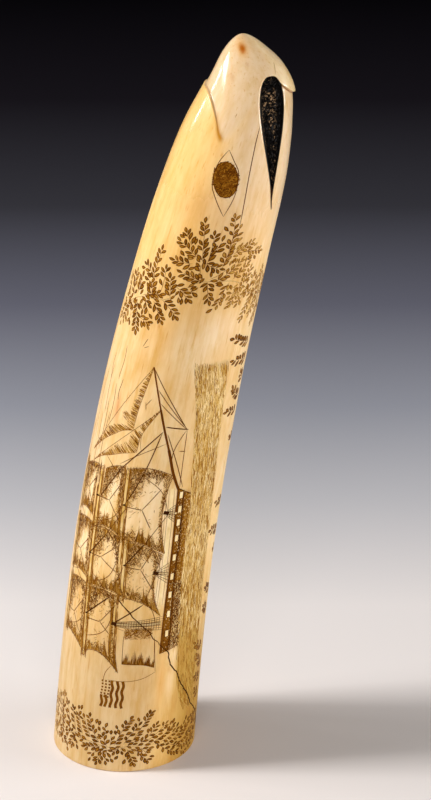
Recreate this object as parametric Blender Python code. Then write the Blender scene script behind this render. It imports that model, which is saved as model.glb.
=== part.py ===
"""A scrimshaw ivory tusk, cut flat at its wide end and standing on it.

The tusk is one piece of ivory.  It leans and bends towards its front (+X), and its tip is carved as
the head of a bird of prey looking up along the tusk: a hooked beak at the front, a mouth pocket cut
into each side below the hook, and the raised edge of the nape round the back.

Metres, +Z up.  The origin is the middle of the cut base.  The bend lies in the XZ plane, and both
sides (-Y and +Y) are alike.  The carving is given as shares of the tusk's height.
"""
import math

import bpy
import numpy as np

HEIGHT = 0.300

# Outline seen from the side, as shares of the height: each row is a level, as the root of the drop
# below the tip, with the place of the back edge and of the front edge there.
OUTLINE = (
    (0.00, 0.1547, 0.1547),
    (0.06, 0.1458, 0.1654),
    (0.13, 0.1339, 0.1826),
    (0.20, 0.1209, 0.2042),
    (0.27, 0.1032, 0.2180),
    (0.34, 0.0820, 0.2150),
    (0.42, 0.0592, 0.2089),
    (0.55, 0.0213, 0.1843),
    (0.70, -0.0240, 0.1500),
    (0.85, -0.0641, 0.1179),
    (1.00, -0.0938, 0.0938),
)

# Thickness from side to side, as a share of the width from back to front.
THICKNESS_AT_TIP = 0.84
THICKNESS_AT_BASE = 0.90

# Width of the small broken edge round the cut base.
BASE_EDGE = 0.0007

# Course of the carved edges: the angle from the front, in degrees, and the level there.  From 0 to
# 51 it is the lower edge of the hooked beak, and from 108 to 180 the edge of the nape.
CARVED_EDGE = (
    (0, 0.2700),
    (20, 0.2590),
    (35, 0.2385),
    (51, 0.2160),
    (80, 0.2780),
    (108, 0.3355),
    (123, 0.3010),
    (137, 0.2755),
    (149, 0.2605),
    (180, 0.2535),
)
EDGE_WALL = 0.0012

# The lower beak is set back under the hook, and the upper beak is set back before the nape.
HOOK_STEP = 0.0040
HOOK_FADE_ANGLE = (45, 60)
HOOK_FADE_LEVEL = 0.09
NAPE_STEP = 0.0024
NAPE_FADE_ANGLE = (72, 45)
NAPE_FADE_LEVEL = 0.09

# The mouth pocket is a teardrop in side view: its top, its point, its greatest half width, how far
# its middle line bows forward, and how blunt its head and how slim its point are.
MOUTH_TOP = (0.1870, 0.957)
MOUTH_POINT = (0.1893, 0.797)
MOUTH_HALF_WIDTH = 0.0141
MOUTH_BOW = 0.0085
MOUTH_HEAD_POWER = 0.4
MOUTH_POINT_POWER = 1.5
MOUTH_STEPS = 22

# Ivory left between the two pockets at their heads, and the depth of a pocket at its point.
MOUTH_WEB = 0.011
MOUTH_POINT_DEPTH = 0.0015
CUTTER_OVERLAP = 0.010

SEGMENTS = 72
TIP_RINGS = 10
BODY_RINGS = 30

IVORY_COLOUR = (0.77, 0.62, 0.38, 1.0)
IVORY_ROUGHNESS = 0.32


def smooth(at, values, where):
    """Cubic curve through the values; its slope at each is the weighted mean of those beside it."""
    at = np.asarray(at, float)
    values = np.asarray(values, float)
    gap = np.diff(at)
    slope = np.diff(values) / gap
    inner = (slope[:-1] * gap[1:] + slope[1:] * gap[:-1]) / (gap[1:] + gap[:-1])
    first = 1.5 * slope[0] - 0.5 * inner[0]
    last = 1.5 * slope[-1] - 0.5 * inner[-1]
    tangent = np.concatenate(([first], inner, [last]))
    k = np.clip(np.searchsorted(at, where, side="right") - 1, 0, len(at) - 2)
    t = (where - at[k]) / gap[k]
    start = (2 * t**3 - 3 * t**2 + 1) * values[k] + (t**3 - 2 * t**2 + t) * gap[k] * tangent[k]
    end = (3 * t**2 - 2 * t**3) * values[k + 1] + (t**3 - t**2) * gap[k] * tangent[k + 1]
    return start + end


def ease(value, start, end):
    """0 before start, 1 after end, and a soft S between them."""
    t = np.clip((value - start) / (end - start), 0.0, 1.0)
    return t * t * (3 - 2 * t)


def section(level):
    """Middle, half width and half thickness of the oval at a level, in metres.

    One curve runs up the back (levels below zero), over the tip and down the front, so the tip is
    round.
    """
    table = np.array(OUTLINE)
    at = np.concatenate((-table[::-1, 0], table[1:, 0]))
    edge = np.concatenate((table[::-1, 1], table[1:, 2])) * HEIGHT
    front = smooth(at, edge, level)
    back = smooth(at, edge, -level)
    half_width = (front - back) / 2
    thickness = THICKNESS_AT_TIP + (THICKNESS_AT_BASE - THICKNESS_AT_TIP) * level
    return (front + back) / 2, half_width, half_width * thickness


def carved_level(angle):
    """Level of the beak's and the nape's carved edge at an angle from the front."""
    table = np.array(CARVED_EDGE)
    return smooth(table[:, 0], table[:, 1], angle)


def hook_set_back(level, angle):
    """How far the lower beak lies back, below the carved edge."""
    beside = 1 - ease(angle, *HOOK_FADE_ANGLE)
    down = 1 - ease(level - carved_level(angle), 0, HOOK_FADE_LEVEL)
    return HOOK_STEP * HEIGHT * beside * down


def nape_set_back(level, angle):
    """How far the upper beak lies back, above the carved edge."""
    beside = ease(180 - angle, *NAPE_FADE_ANGLE)
    up = 1 - ease(carved_level(angle) - level, 0, NAPE_FADE_LEVEL)
    return NAPE_STEP * HEIGHT * beside * up


def ring(level, turn, set_back):
    """Points of one oval round the tusk, drawn in towards its middle by the set-back."""
    middle, half_width, half_thickness = section(level)
    x = middle + (half_width - set_back) * np.cos(turn)
    y = (half_thickness - set_back) * np.sin(turn)
    z = HEIGHT * (1 - level**2)
    return np.column_stack((x, y, z))


def side_surface(x, z):
    """Distance of the uncarved surface from the XZ plane at a place in side view."""
    middle, half_width, half_thickness = section(np.sqrt(1 - z / HEIGHT))
    return half_thickness * np.sqrt(1 - ((x - middle) / half_width) ** 2)


def new_object(name, points, faces):
    """Puts points and faces into a mesh of their own."""
    mesh = bpy.data.meshes.new(name)
    mesh.from_pydata([tuple(p) for p in points], [], faces)
    piece = bpy.data.objects.new(name, mesh)
    bpy.context.scene.collection.objects.link(piece)
    return piece


def tusk_body():
    """The tusk without its pockets: rings from the tip down, one of them doubled at the carved edge."""
    turn = np.linspace(0, 2 * math.pi, SEGMENTS, endpoint=False)
    angle = np.degrees(np.arccos(np.cos(turn)))
    edge = carved_level(angle)
    rings = []
    for share in np.linspace(0, 1, TIP_RINGS + 1)[1:]:
        level = share * (edge - EDGE_WALL)
        rings.append(ring(level, turn, nape_set_back(level, angle)))
    edge_level = math.sqrt(1 - BASE_EDGE / HEIGHT)
    for share in np.linspace(0, 1, BODY_RINGS + 1):
        level = (edge + EDGE_WALL) * (1 - share) + edge_level * share
        rings.append(ring(level, turn, hook_set_back(level, angle)))
    rings.append(ring(np.ones(SEGMENTS), turn, BASE_EDGE))
    tip_middle = section(np.zeros(1))[0][0]
    points = np.vstack([np.array([[tip_middle, 0.0, HEIGHT]])] + rings)
    count = len(rings)
    after = [(k + 1) % SEGMENTS for k in range(SEGMENTS)]
    faces = [(0, 1 + k, 1 + after[k]) for k in range(SEGMENTS)]
    for row in range(count - 1):
        top = 1 + row * SEGMENTS
        low = top + SEGMENTS
        faces += [(top + k, low + k, low + after[k], top + after[k]) for k in range(SEGMENTS)]
    last = 1 + (count - 1) * SEGMENTS
    faces.append([last + k for k in reversed(range(SEGMENTS))])
    return new_object("tusk", points, faces)


def mouth_outline():
    """The teardrop in side view, down its back edge and up its front edge."""
    t = (1 - np.cos(np.linspace(0, math.pi, MOUTH_STEPS + 1))) / 2
    peak = MOUTH_HEAD_POWER / (MOUTH_HEAD_POWER + MOUTH_POINT_POWER)
    widest = peak**MOUTH_HEAD_POWER * (1 - peak) ** MOUTH_POINT_POWER
    half = MOUTH_HALF_WIDTH * t**MOUTH_HEAD_POWER * (1 - t) ** MOUTH_POINT_POWER / widest
    middle = MOUTH_TOP[0] + (MOUTH_POINT[0] - MOUTH_TOP[0]) * t + MOUTH_BOW * t * (1 - t)
    z = MOUTH_TOP[1] + (MOUTH_POINT[1] - MOUTH_TOP[1]) * t
    x = np.concatenate((middle - half, (middle + half)[-2:0:-1]))
    return x * HEIGHT, np.concatenate((z, z[-2:0:-1])) * HEIGHT


def mouth_cutter(side):
    """The solid that cuts one pocket; its floor rises from the web at the head to the point."""
    x, z = mouth_outline()
    point_x, point_z = MOUTH_POINT[0] * HEIGHT, MOUTH_POINT[1] * HEIGHT
    floor_at_point = side_surface(point_x, point_z) - MOUTH_POINT_DEPTH
    down = (MOUTH_TOP[1] * HEIGHT - z) / (MOUTH_TOP[1] * HEIGHT - point_z)
    floor = MOUTH_WEB / 2 + (floor_at_point - MOUTH_WEB / 2) * down
    outside = np.full(len(x), section(np.ones(1))[2][0] + CUTTER_OVERLAP)
    points = np.vstack((np.column_stack((x, side * floor, z)), np.column_stack((x, side * outside, z))))
    count = len(x)
    order = range(count) if side < 0 else range(count - 1, -1, -1)
    loop = list(order)
    faces = [[count + k for k in loop], loop[::-1]]
    for here, then in zip(loop, loop[1:] + loop[:1]):
        faces.append([here, then, count + then, count + here])
    cutter = new_object("mouth_cutter_near" if side < 0 else "mouth_cutter_far", points, faces)
    cutter.hide_render = True
    cutter.display_type = "WIRE"
    return cutter


def ivory():
    """Warm polished ivory."""
    material = bpy.data.materials.new("ivory")
    material.use_nodes = True
    shader = material.node_tree.nodes["Principled BSDF"]
    shader.inputs["Base Color"].default_value = IVORY_COLOUR
    shader.inputs["Roughness"].default_value = IVORY_ROUGHNESS
    shader.inputs["Metallic"].default_value = 0.0
    return material


for old in list(bpy.data.objects):
    bpy.data.objects.remove(old, do_unlink=True)

tusk = tusk_body()
tusk.data.materials.append(ivory())
for side in (-1, 1):
    cut = tusk.modifiers.new("mouth pocket", "BOOLEAN")
    cut.operation = "DIFFERENCE"
    cut.solver = "EXACT"
    cut.object = mouth_cutter(side)
tusk.data.shade_smooth()
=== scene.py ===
"""Looks of a scrimshaw ivory tusk that stands on its cut base.

The tusk's tip is carved as a bird's head with a black mouth pocket in each side.  Its sides are engraved
and inked: leaf garlands, a full-rigged ship lying along the tusk, the sea beside the ship, and a flag.
Places on the surface are given on a sheet, in millimetres: the distance round the tusk from the middle
of the near side (positive towards the front, +X), and the height above the base.
"""
import math

import bpy
import numpy as np
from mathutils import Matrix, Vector


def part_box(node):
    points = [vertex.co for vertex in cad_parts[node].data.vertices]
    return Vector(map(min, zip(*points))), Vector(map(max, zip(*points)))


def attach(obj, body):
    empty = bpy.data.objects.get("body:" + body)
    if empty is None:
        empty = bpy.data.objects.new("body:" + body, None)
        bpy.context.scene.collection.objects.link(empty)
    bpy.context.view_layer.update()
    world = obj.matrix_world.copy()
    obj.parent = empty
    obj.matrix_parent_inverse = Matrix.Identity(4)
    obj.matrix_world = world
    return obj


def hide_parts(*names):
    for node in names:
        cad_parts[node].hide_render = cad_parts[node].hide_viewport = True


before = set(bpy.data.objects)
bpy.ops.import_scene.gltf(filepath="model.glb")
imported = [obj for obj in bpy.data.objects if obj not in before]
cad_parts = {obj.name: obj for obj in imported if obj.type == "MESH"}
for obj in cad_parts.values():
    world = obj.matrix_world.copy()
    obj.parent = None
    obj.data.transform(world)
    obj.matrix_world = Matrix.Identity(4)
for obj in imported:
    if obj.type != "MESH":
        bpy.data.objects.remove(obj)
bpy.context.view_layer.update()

# Camera
# It looks at the tusk's near side (-Y) from a little above, through a long lens.  The lens is given by its
# length in the pixels of an upright picture, whose long side takes the sensor's width.
IMAGE_HEIGHT = 800
LENS_IN_PIXELS = 3194
SENSOR = 36.0
CAMERA_AIM = Vector((0.0366, 0.0, 0.1523))
CAMERA_DISTANCE = 1.2065
CAMERA_ELEVATION = math.radians(28)

camera_data = bpy.data.cameras.new("camera")
camera_data.sensor_width = SENSOR
camera_data.lens = LENS_IN_PIXELS * SENSOR / IMAGE_HEIGHT
camera = bpy.data.objects.new("camera", camera_data)
camera.location = CAMERA_AIM + CAMERA_DISTANCE * Vector(
    (0.0, -math.cos(CAMERA_ELEVATION), math.sin(CAMERA_ELEVATION))
)
camera.rotation_euler = (math.pi / 2 - CAMERA_ELEVATION, 0.0, 0.0)
bpy.context.scene.collection.objects.link(camera)
bpy.context.scene.camera = camera
bpy.context.scene.view_settings.view_transform = "Standard"


# Floor
# A plain matt paper sheet that the tusk stands on.  Its colour is pale in front and round the tusk and runs
# evenly into the dark behind it: painted shade for the light falling off away from the tusk.  It is no
# part of the object.
FLOOR_HALF = 8.0
PAPER_ROUGHNESS = 0.9
# The darkening of these colours with distance is painted shade, not the paper's own colour.
FLOOR_COLOURS = (  # distance behind the tusk in metres, and the paper's screen colour there
    (0.00, (236, 228, 224)),
    (0.10, (232, 225, 222)),
    (0.19, (192, 190, 193)),
    (0.28, (150, 151, 160)),
    (0.39, (102, 102, 114)),
    (0.51, (57, 56, 62)),
    (0.66, (27, 24, 29)),
    (0.85, (6, 5, 7)),
)


class Shade:
    """A shader socket that is used like a number: sums, products and powers of it add Math nodes."""

    def __init__(self, tree, socket=None):
        self.tree = tree
        self.socket = socket

    def node(self, kind, settings=None, values=None, output=0):
        """Adds a node: its settings first, then the values or links of its sockets."""
        made = self.tree.nodes.new(kind)
        for name, value in (settings or {}).items():
            if name == "stops":
                ramp = made.color_ramp
                while len(ramp.elements) < len(value):
                    ramp.elements.new(0.5)
                for stop, (place, colour) in zip(ramp.elements, value):
                    stop.position = place
                    stop.color = (*colour, 1.0)
            else:
                setattr(made, name, value)
        for name, value in (values or {}).items():
            if isinstance(value, Shade):
                self.tree.links.new(value.socket, made.inputs[name])
            else:
                made.inputs[name].default_value = value
        return Shade(self.tree, made.outputs[output])

    def stored(self, name, output):
        """A field that is stored on the mesh."""
        return self.node("ShaderNodeAttribute", {"attribute_name": name}, None, output)

    def object_place(self):
        """Place on the object, in metres."""
        return self.node("ShaderNodeTexCoord", None, None, "Object")

    def math(self, operation, *values, clamp=False):
        settings = {"operation": operation, "use_clamp": clamp}
        return self.node("ShaderNodeMath", settings, dict(enumerate(values)))

    def mix(self, first, second, share, blend="MIX"):
        """Colour that goes from the first to the second as the share goes from 0 to 1."""
        settings = {"data_type": "RGBA", "blend_type": blend}
        return self.node("ShaderNodeMix", settings, {0: share, 6: first, 7: second}, 2)

    def stretched(self, vector, scale):
        """The vector with each of its three parts scaled."""
        return self.node("ShaderNodeVectorMath", {"operation": "MULTIPLY"}, {0: vector, 1: scale})

    def noise(self, vector, detail=3.0, roughness=0.55):
        """Soft noise about 0.5, one bump to each unit of the vector."""
        values = {"Vector": vector, "Scale": 1.0, "Detail": detail, "Roughness": roughness}
        return self.node("ShaderNodeTexNoise", None, values)

    def rise(self, low, high):
        """0 below low, 1 above high, and a soft S between them."""
        values = {"Value": self, "From Min": low, "From Max": high}
        return self.node("ShaderNodeMapRange", {"interpolation_type": "SMOOTHSTEP"}, values)

    def __add__(self, other):
        return self.math("ADD", self, other)

    def __sub__(self, other):
        return self.math("SUBTRACT", self, other)

    def __rsub__(self, other):
        return self.math("SUBTRACT", other, self)

    def __mul__(self, other):
        return self.math("MULTIPLY", self, other)

    __radd__ = __add__
    __rmul__ = __mul__


def start_material(name):
    """A material, its shader, and the Shade that its nodes start from."""
    material = bpy.data.materials.new(name)
    material.use_nodes = True
    return material, material.node_tree.nodes["Principled BSDF"], Shade(material.node_tree)


def feed(shader, name, value):
    """Links a Shade to one of the shader's sockets."""
    value.tree.links.new(value.socket, shader.inputs[name])


def hold(shader, values):
    """Sets the sockets that are the same all over the surface."""
    for name, value in values.items():
        shader.inputs[name].default_value = value


def srgb(red, green, blue):
    """Linear colour of three screen values from 0 to 255."""
    screen = np.array((red, green, blue)) / 255
    linear = np.where(screen > 0.04045, ((screen + 0.055) / 1.055) ** 2.4, screen / 12.92)
    return tuple(float(part) for part in linear)


floor_mesh = bpy.data.meshes.new("floor")
corners = [(x * FLOOR_HALF, y * FLOOR_HALF, 0.0) for x, y in ((-1, -1), (1, -1), (1, 1), (-1, 1))]
floor_mesh.from_pydata(corners, [], [(0, 1, 2, 3)])
floor = bpy.data.objects.new("floor", floor_mesh)
bpy.context.scene.collection.objects.link(floor)

paper, paper_shader, start = start_material("paper")
place = start.object_place()
behind = start.node("ShaderNodeSeparateXYZ", None, {0: place}, "Y")
farthest = FLOOR_COLOURS[-1][0]
painted_falloff_stops = [(distance / farthest, srgb(*colour)) for distance, colour in FLOOR_COLOURS]
feed(paper_shader, "Base Color", start.node(
    "ShaderNodeValToRGB", {"stops": painted_falloff_stops}, {"Fac": behind * (1 / farthest)}))
hold(paper_shader, {"Roughness": PAPER_ROUGHNESS, "Specular IOR Level": 0.0})
floor.data.materials.append(paper)


# Light
# A softbox high on the left lights the tusk along its back edge and throws the shadow to the right.  Two
# short strips lower down give the streaks on the polished head; wide boxes fill in from the other sides.
LIT_PLACE = Vector((0.035, 0.0, 0.15))
SOFTBOXES = (  # name, azimuth from -Y towards +X, elevation, distance, width, height, watts, reflected
    ("left_softbox", -87, 44, 2.80, 0.40, 0.50, 43.0, False),
    ("tip_strip", -89, 27, 0.95, 0.34, 0.15, 4.4, True),
    ("nape_strip", -107.5, 14.3, 0.95, 0.050, 0.036, 0.46, True),
    ("right_softbox", 85, 8, 1.30, 0.90, 0.34, 11.5, True),
    ("front_softbox", -4, 14, 1.60, 1.00, 0.70, 10.0, False),
)
ROOM_COLOUR = (0.95, 0.97, 1.0, 1.0)
ROOM_LIGHT = 0.12

for name, azimuth, elevation, distance, width, height, watts, reflected in SOFTBOXES:
    lamp = bpy.data.lights.new(name, "AREA")
    lamp.shape = "RECTANGLE"
    lamp.size = width
    lamp.size_y = height
    lamp.energy = watts
    softbox = bpy.data.objects.new(name, lamp)
    turned, raised = math.radians(azimuth), math.radians(elevation)
    level_out = math.cos(raised)
    out = Vector((math.sin(turned) * level_out, -math.cos(turned) * level_out, math.sin(raised)))
    softbox.location = LIT_PLACE + distance * out
    softbox.rotation_euler = out.to_track_quat("Z", "Y").to_euler()
    softbox.visible_glossy = reflected
    bpy.context.scene.collection.objects.link(softbox)

room = bpy.data.worlds.new("room")
room.use_nodes = True
room.node_tree.nodes["Background"].inputs["Color"].default_value = ROOM_COLOUR
room.node_tree.nodes["Background"].inputs["Strength"].default_value = ROOM_LIGHT
bpy.context.scene.world = room


# Ivory tusk
# One piece of ivory, sawn flat at its wide end.  The tip is carved as the head of a bird of prey: a
# hooked beak at the front, the edge of the nape round the back, and a deep mouth pocket in each side.
# Places are shares of its height, and the carved edges are given by the angle from the front.
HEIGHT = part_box("tusk")[1].z
OUTLINE = (  # level as the root of the drop below the tip, back edge and front edge, shares of height
    (0.00, 0.1547, 0.1547),
    (0.06, 0.1458, 0.1654),
    (0.13, 0.1339, 0.1826),
    (0.20, 0.1209, 0.2042),
    (0.27, 0.1032, 0.2180),
    (0.34, 0.0820, 0.2150),
    (0.42, 0.0592, 0.2089),
    (0.55, 0.0213, 0.1843),
    (0.70, -0.0240, 0.1500),
    (0.85, -0.0641, 0.1179),
    (1.00, -0.0938, 0.0938),
)
THICKNESS_AT_TIP = 0.84  # shares of the width from back to front
THICKNESS_AT_BASE = 0.90
BASE_EDGE = 0.0007
CARVED_EDGE = (  # angle from the front in degrees, and the level of the hook's and the nape's edge there
    (0, 0.2700),
    (20, 0.2590),
    (35, 0.2385),
    (51, 0.2160),
    (80, 0.2780),
    (108, 0.3355),
    (123, 0.3010),
    (137, 0.2755),
    (149, 0.2605),
    (180, 0.2535),
)
EDGE_WALL = 0.0012  # half the height of an edge's wall, in levels
HOOK_STEP = 0.0040
HOOK_FADE_ANGLE = (45, 60)
HOOK_FADE_LEVEL = 0.09
NAPE_STEP = 0.0024
NAPE_FADE_ANGLE = (72, 45)
NAPE_FADE_LEVEL = 0.09
MOUTH_TOP = (0.1870, 0.957)  # the teardrop's top and point in side view
MOUTH_POINT = (0.1893, 0.797)
MOUTH_HALF_WIDTH = 0.0141
MOUTH_BOW = 0.0085
MOUTH_HEAD_POWER = 0.4
MOUTH_POINT_POWER = 1.5
MOUTH_WEB = 0.011  # ivory left between the two pockets at their heads; metres from here on
MOUTH_POINT_DEPTH = 0.0015
MOUTH_LIP = 0.0007
MOUTH_WALL = 0.0004
MOUTH_REACH = 0.005  # how far from the teardrop's outline the distance to it is worked out
MOUTH_BESIDE = (0.012, 0.003, 0.004)  # a box round a pocket: to its sides, from the middle, past its ends

SKIN_INSET = 0.00005
COLUMNS = 248
FINE_TURNS = 7201
CROWDED = (20, 33, 76, 92)  # the angles from the front where the columns start to crowd, and stop
CROWDING = 2.2
TIP_ROWS = 48
TIP_CROWDING = 1.25
WALL_ROWS = 4
HEAD_ROWS = 130
HEAD_SHARE = 0.33
BODY_ROWS = 186
CAP_ROWS = 5
BASE_EDGE_TURNS = (35, 65, 90)
SHARP_ANGLE = 55
UV_TOP = 0.995
UV_HEIGHT = 0.985
MM = 0.001

GOLD = srgb(230, 186, 112)
HONEY = srgb(238, 192, 118)
PALE_PAINTED_RIM_LIGHT = srgb(232, 202, 160)
CREAM_PAINTED_LIGHT = srgb(246, 216, 160)
AMBER = srgb(192, 146, 50)
EDGE_LINE_BROWN = srgb(140, 82, 14)
LOW_PALE = srgb(204, 170, 116)
HEAD_PALE = srgb(224, 193, 150)
MID_PALE = srgb(212, 182, 140)
STRAW = srgb(232, 194, 134)
DEEP_AMBER = srgb(172, 124, 14)
POOLED_STAIN = srgb(190, 128, 14)
BLACK = srgb(9, 6, 5)
SKIN_SPOTS = (  # place, radius, how much longer along the tusk, screen colour, share
    ((-1.0, 296.3), 1.9, 1.2, (228, 160, 56), 0.80),
    ((-1.0, 296.3), 1.0, 1.2, (178, 92, 0), 0.90),
    ((-1.0, 296.3), 0.8, 1.2, (178, 92, 0), 1.00),
    ((-0.3, 291.6), 0.5, 1.2, (178, 92, 0), 0.35),
    ((-6.0, 287.3), 0.9, 1.2, (178, 92, 0), 0.25),
    ((-4.5, 192.0), 9.0, 1.1, (200, 142, 52), 0.40),
    ((-7.0, 242.0), 7.5, 1.1, (200, 144, 66), 0.36),
    ((11.0, 189.0), 8.0, 1.1, (242, 216, 180), 0.45),
)
BAND_GRAIN = (290, 290, 55)  # bumps of noise in each metre, across the tusk and along it
FINE_GRAIN = (700, 700, 30)
CLOUDS = (130, 130, 50)
FLECKS = (1500, 1500, 120)
RIPPLES = (320, 320, 60)
COOL_TINT = (1.09, 1.14, 1.30, 1.0)  # what the grain multiplies the ivory's colour by
WARM_TINT = (0.92, 0.80, 0.52, 1.0)
FLECK_TINT = (0.86, 0.72, 0.50, 1.0)
NO_TINT = (1.0, 1.0, 1.0, 1.0)
RIPPLE_DEPTH = 0.0002


def smooth(at, values, where):
    """Cubic curve through the values; its slope at each is the weighted mean of those beside it."""
    at = np.asarray(at, float)
    values = np.asarray(values, float)
    gap = np.diff(at)
    slope = np.diff(values) / gap
    inner = (slope[:-1] * gap[1:] + slope[1:] * gap[:-1]) / (gap[1:] + gap[:-1])
    first = 1.5 * slope[0] - 0.5 * inner[0]
    last = 1.5 * slope[-1] - 0.5 * inner[-1]
    tangent = np.concatenate(([first], inner, [last]))
    k = np.clip(np.searchsorted(at, where, side="right") - 1, 0, len(at) - 2)
    t = (where - at[k]) / gap[k]
    start = (2 * t**3 - 3 * t**2 + 1) * values[k] + (t**3 - 2 * t**2 + t) * gap[k] * tangent[k]
    end = (3 * t**2 - 2 * t**3) * values[k + 1] + (t**3 - t**2) * gap[k] * tangent[k + 1]
    return start + end


def ease(value, start, end):
    """0 before start, 1 after end, and between them 3t squared less 2t cubed, a soft S."""
    t = np.clip((value - start) / (end - start), 0.0, 1.0)
    return t * t * (3 - 2 * t)


def hump(value, start, full, fade, end):
    """0 outside start and end, 1 from full to fade, and a soft S between them."""
    return ease(value, start, full) * (1 - ease(value, fade, end))


def section(level):
    """Middle, half width and half thickness of the oval at a level: one curve runs up the back, over
    the tip and down the front, and the thickness is a share of the width."""
    table = np.array(OUTLINE)
    at = np.concatenate((-table[::-1, 0], table[1:, 0]))
    edge = np.concatenate((table[::-1, 1], table[1:, 2])) * HEIGHT
    front = smooth(at, edge, level)
    back = smooth(at, edge, -level)
    half_width = (front - back) / 2
    thickness = THICKNESS_AT_TIP + (THICKNESS_AT_BASE - THICKNESS_AT_TIP) * level
    return (front + back) / 2, half_width, half_width * thickness


def carved_level(angle):
    """Level of the hook's and the nape's carved edge at an angle from the front: a smooth curve through
    the rows of its table."""
    table = np.array(CARVED_EDGE)
    return smooth(table[:, 0], table[:, 1], angle)


def angle_from_front(turn):
    """Degrees from the front, both ways, of a turn from the middle of the near side: the angle whose
    cosine is the turn's sine."""
    return np.degrees(np.arccos(np.clip(np.sin(turn), -1, 1)))


def skin(level, turn, set_in=SKIN_INSET):
    """Surface point at a level and a turn (0 in the middle of the near side, growing to the front): the
    oval of that level, drawn in above the nape's edge and below the hook's by a step that fades out."""
    angle = angle_from_front(turn)
    edge = carved_level(angle)
    above = NAPE_STEP * HEIGHT * ease(180 - angle, *NAPE_FADE_ANGLE)
    above = above * (1 - ease(edge - level, 0, NAPE_FADE_LEVEL))
    below = HOOK_STEP * HEIGHT * (1 - ease(angle, *HOOK_FADE_ANGLE))
    below = below * (1 - ease(level - edge, 0, HOOK_FADE_LEVEL))
    step = ease(level, edge - EDGE_WALL, edge + EDGE_WALL)
    set_back = above * (1 - step) + below * step + set_in
    middle, half_width, half_thickness = section(level)
    x = middle + (half_width - set_back) * np.sin(turn)
    y = -(half_thickness - set_back) * np.cos(turn)
    return np.stack((x, y, HEIGHT * (1 - level**2) + 0 * x), axis=-1)


def mouth_half(share):
    """Half width of the teardrop at a share of the way down it: the share to the head's power times the
    rest of the way to the point's power, so that the head is blunt and the point slim."""
    peak = MOUTH_HEAD_POWER / (MOUTH_HEAD_POWER + MOUTH_POINT_POWER)
    widest = peak**MOUTH_HEAD_POWER * (1 - peak) ** MOUTH_POINT_POWER
    return HEIGHT * MOUTH_HALF_WIDTH * share**MOUTH_HEAD_POWER * (1 - share) ** MOUTH_POINT_POWER / widest


def mouth_middle(share):
    """Place in side view of the teardrop's middle line: straight from its top to its point, and bowed
    forward by a parabola."""
    bow = MOUTH_BOW * share * (1 - share)
    x = MOUTH_TOP[0] + (MOUTH_POINT[0] - MOUTH_TOP[0]) * share + bow
    return x * HEIGHT, (MOUTH_TOP[1] + (MOUTH_POINT[1] - MOUTH_TOP[1]) * share) * HEIGHT


def mouth_floor(share):
    """Distance of the pocket's floor from the middle plane: it rises evenly to the point."""
    x, z = MOUTH_POINT[0] * HEIGHT, MOUTH_POINT[1] * HEIGHT
    middle, half_width, half_thickness = section(np.sqrt(1 - z / HEIGHT))
    at_point = half_thickness * np.sqrt(1 - ((x - middle) / half_width) ** 2) - MOUTH_POINT_DEPTH
    return MOUTH_WEB / 2 + (at_point - MOUTH_WEB / 2) * share


def mouth_distance(x, z):
    """Distance in side view from the teardrop's outline, below zero inside it."""
    share = (1 - np.cos(np.linspace(0, math.pi, 81))) / 2
    half = mouth_half(share)
    middle, height = mouth_middle(share)
    line = np.concatenate((
        np.column_stack((middle - half, height)), np.column_stack((middle + half, height))[-2:0:-1]))
    run = np.roll(line, -1, axis=0) - line
    off = np.stack((x, z), axis=-1)[:, None, :] - line
    along = np.clip((off * run).sum(-1) / (run * run).sum(-1), 0, 1)
    distance = np.linalg.norm(off - along[..., None] * run, axis=-1).min(axis=1)
    share = np.clip((MOUTH_TOP[1] * HEIGHT - z) / ((MOUTH_TOP[1] - MOUTH_POINT[1]) * HEIGHT), 0, 1)
    inside = np.abs(x - mouth_middle(share)[0]) < mouth_half(share)
    return np.where(inside, -distance, distance)


def cut_mouth(points):
    """Moves the points inside the teardrop to the pocket's floor and rounds its lip; also gives each
    point's distance from the outline."""
    x, y, z = points[:, 0], np.abs(points[:, 1]), points[:, 2]
    distance = np.full(len(points), MOUTH_REACH)
    to_side, from_middle, past_end = MOUTH_BESIDE
    low_z, high_z = MOUTH_POINT[1] * HEIGHT - past_end, MOUTH_TOP[1] * HEIGHT + past_end
    near = (z > low_z) & (z < high_z) & (y > from_middle)
    near &= np.abs(x - MOUTH_TOP[0] * HEIGHT) < to_side
    distance[near] = np.clip(mouth_distance(x[near], z[near]), -MOUTH_REACH, MOUTH_REACH)
    share = np.clip((MOUTH_TOP[1] * HEIGHT - z) / ((MOUTH_TOP[1] - MOUTH_POINT[1]) * HEIGHT), 0, 1)
    depth = np.maximum(y - mouth_floor(share), 0)
    lip = np.minimum(MOUTH_LIP, 0.35 * depth + 1e-6)
    run = np.clip(distance, 0, lip)
    rounded = y - (lip - np.sqrt(lip**2 - (lip - run) ** 2))
    wall = ease(-distance, 0, MOUTH_WALL)
    sunk = (y - lip) * (1 - wall) + np.minimum(mouth_floor(share), y - lip) * wall
    moved = points.copy()
    moved[:, 1] = np.sign(points[:, 1]) * np.where(distance < 0, sunk, rounded)
    return moved, distance


def grid_faces(rows, columns, closed=True, first=0):
    """Four-sided faces of a grid of points that is stored row by row, facing out where the rows go
    down and the columns go round anticlockwise from above."""
    row = np.arange(rows - 1)[:, None]
    column = np.arange(columns if closed else columns - 1)[None, :]
    after = (column + 1) % columns
    corners = (row * columns + column, (row + 1) * columns + column,
               (row + 1) * columns + after, row * columns + after)
    return np.stack([c + 0 * row * column for c in corners], axis=-1).reshape(-1, 4) + first


def new_piece(name, points, faces, material, body="root"):
    """An object with those points and faces that rides on the tusk."""
    mesh = bpy.data.meshes.new(name)
    mesh.from_pydata(points.tolist(), [], [face.tolist() for face in faces])
    mesh.materials.append(material)
    mesh.shade_smooth()
    piece = bpy.data.objects.new(name, mesh)
    bpy.context.scene.collection.objects.link(piece)
    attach(piece, body)
    return piece


def add_field(mesh, name, kind, part, values):
    """Stores one value for each point of the mesh."""
    field = mesh.attributes.new(name, kind, "POINT")
    field.data.foreach_set(part, np.ascontiguousarray(values, dtype=np.float32).ravel())


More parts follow.
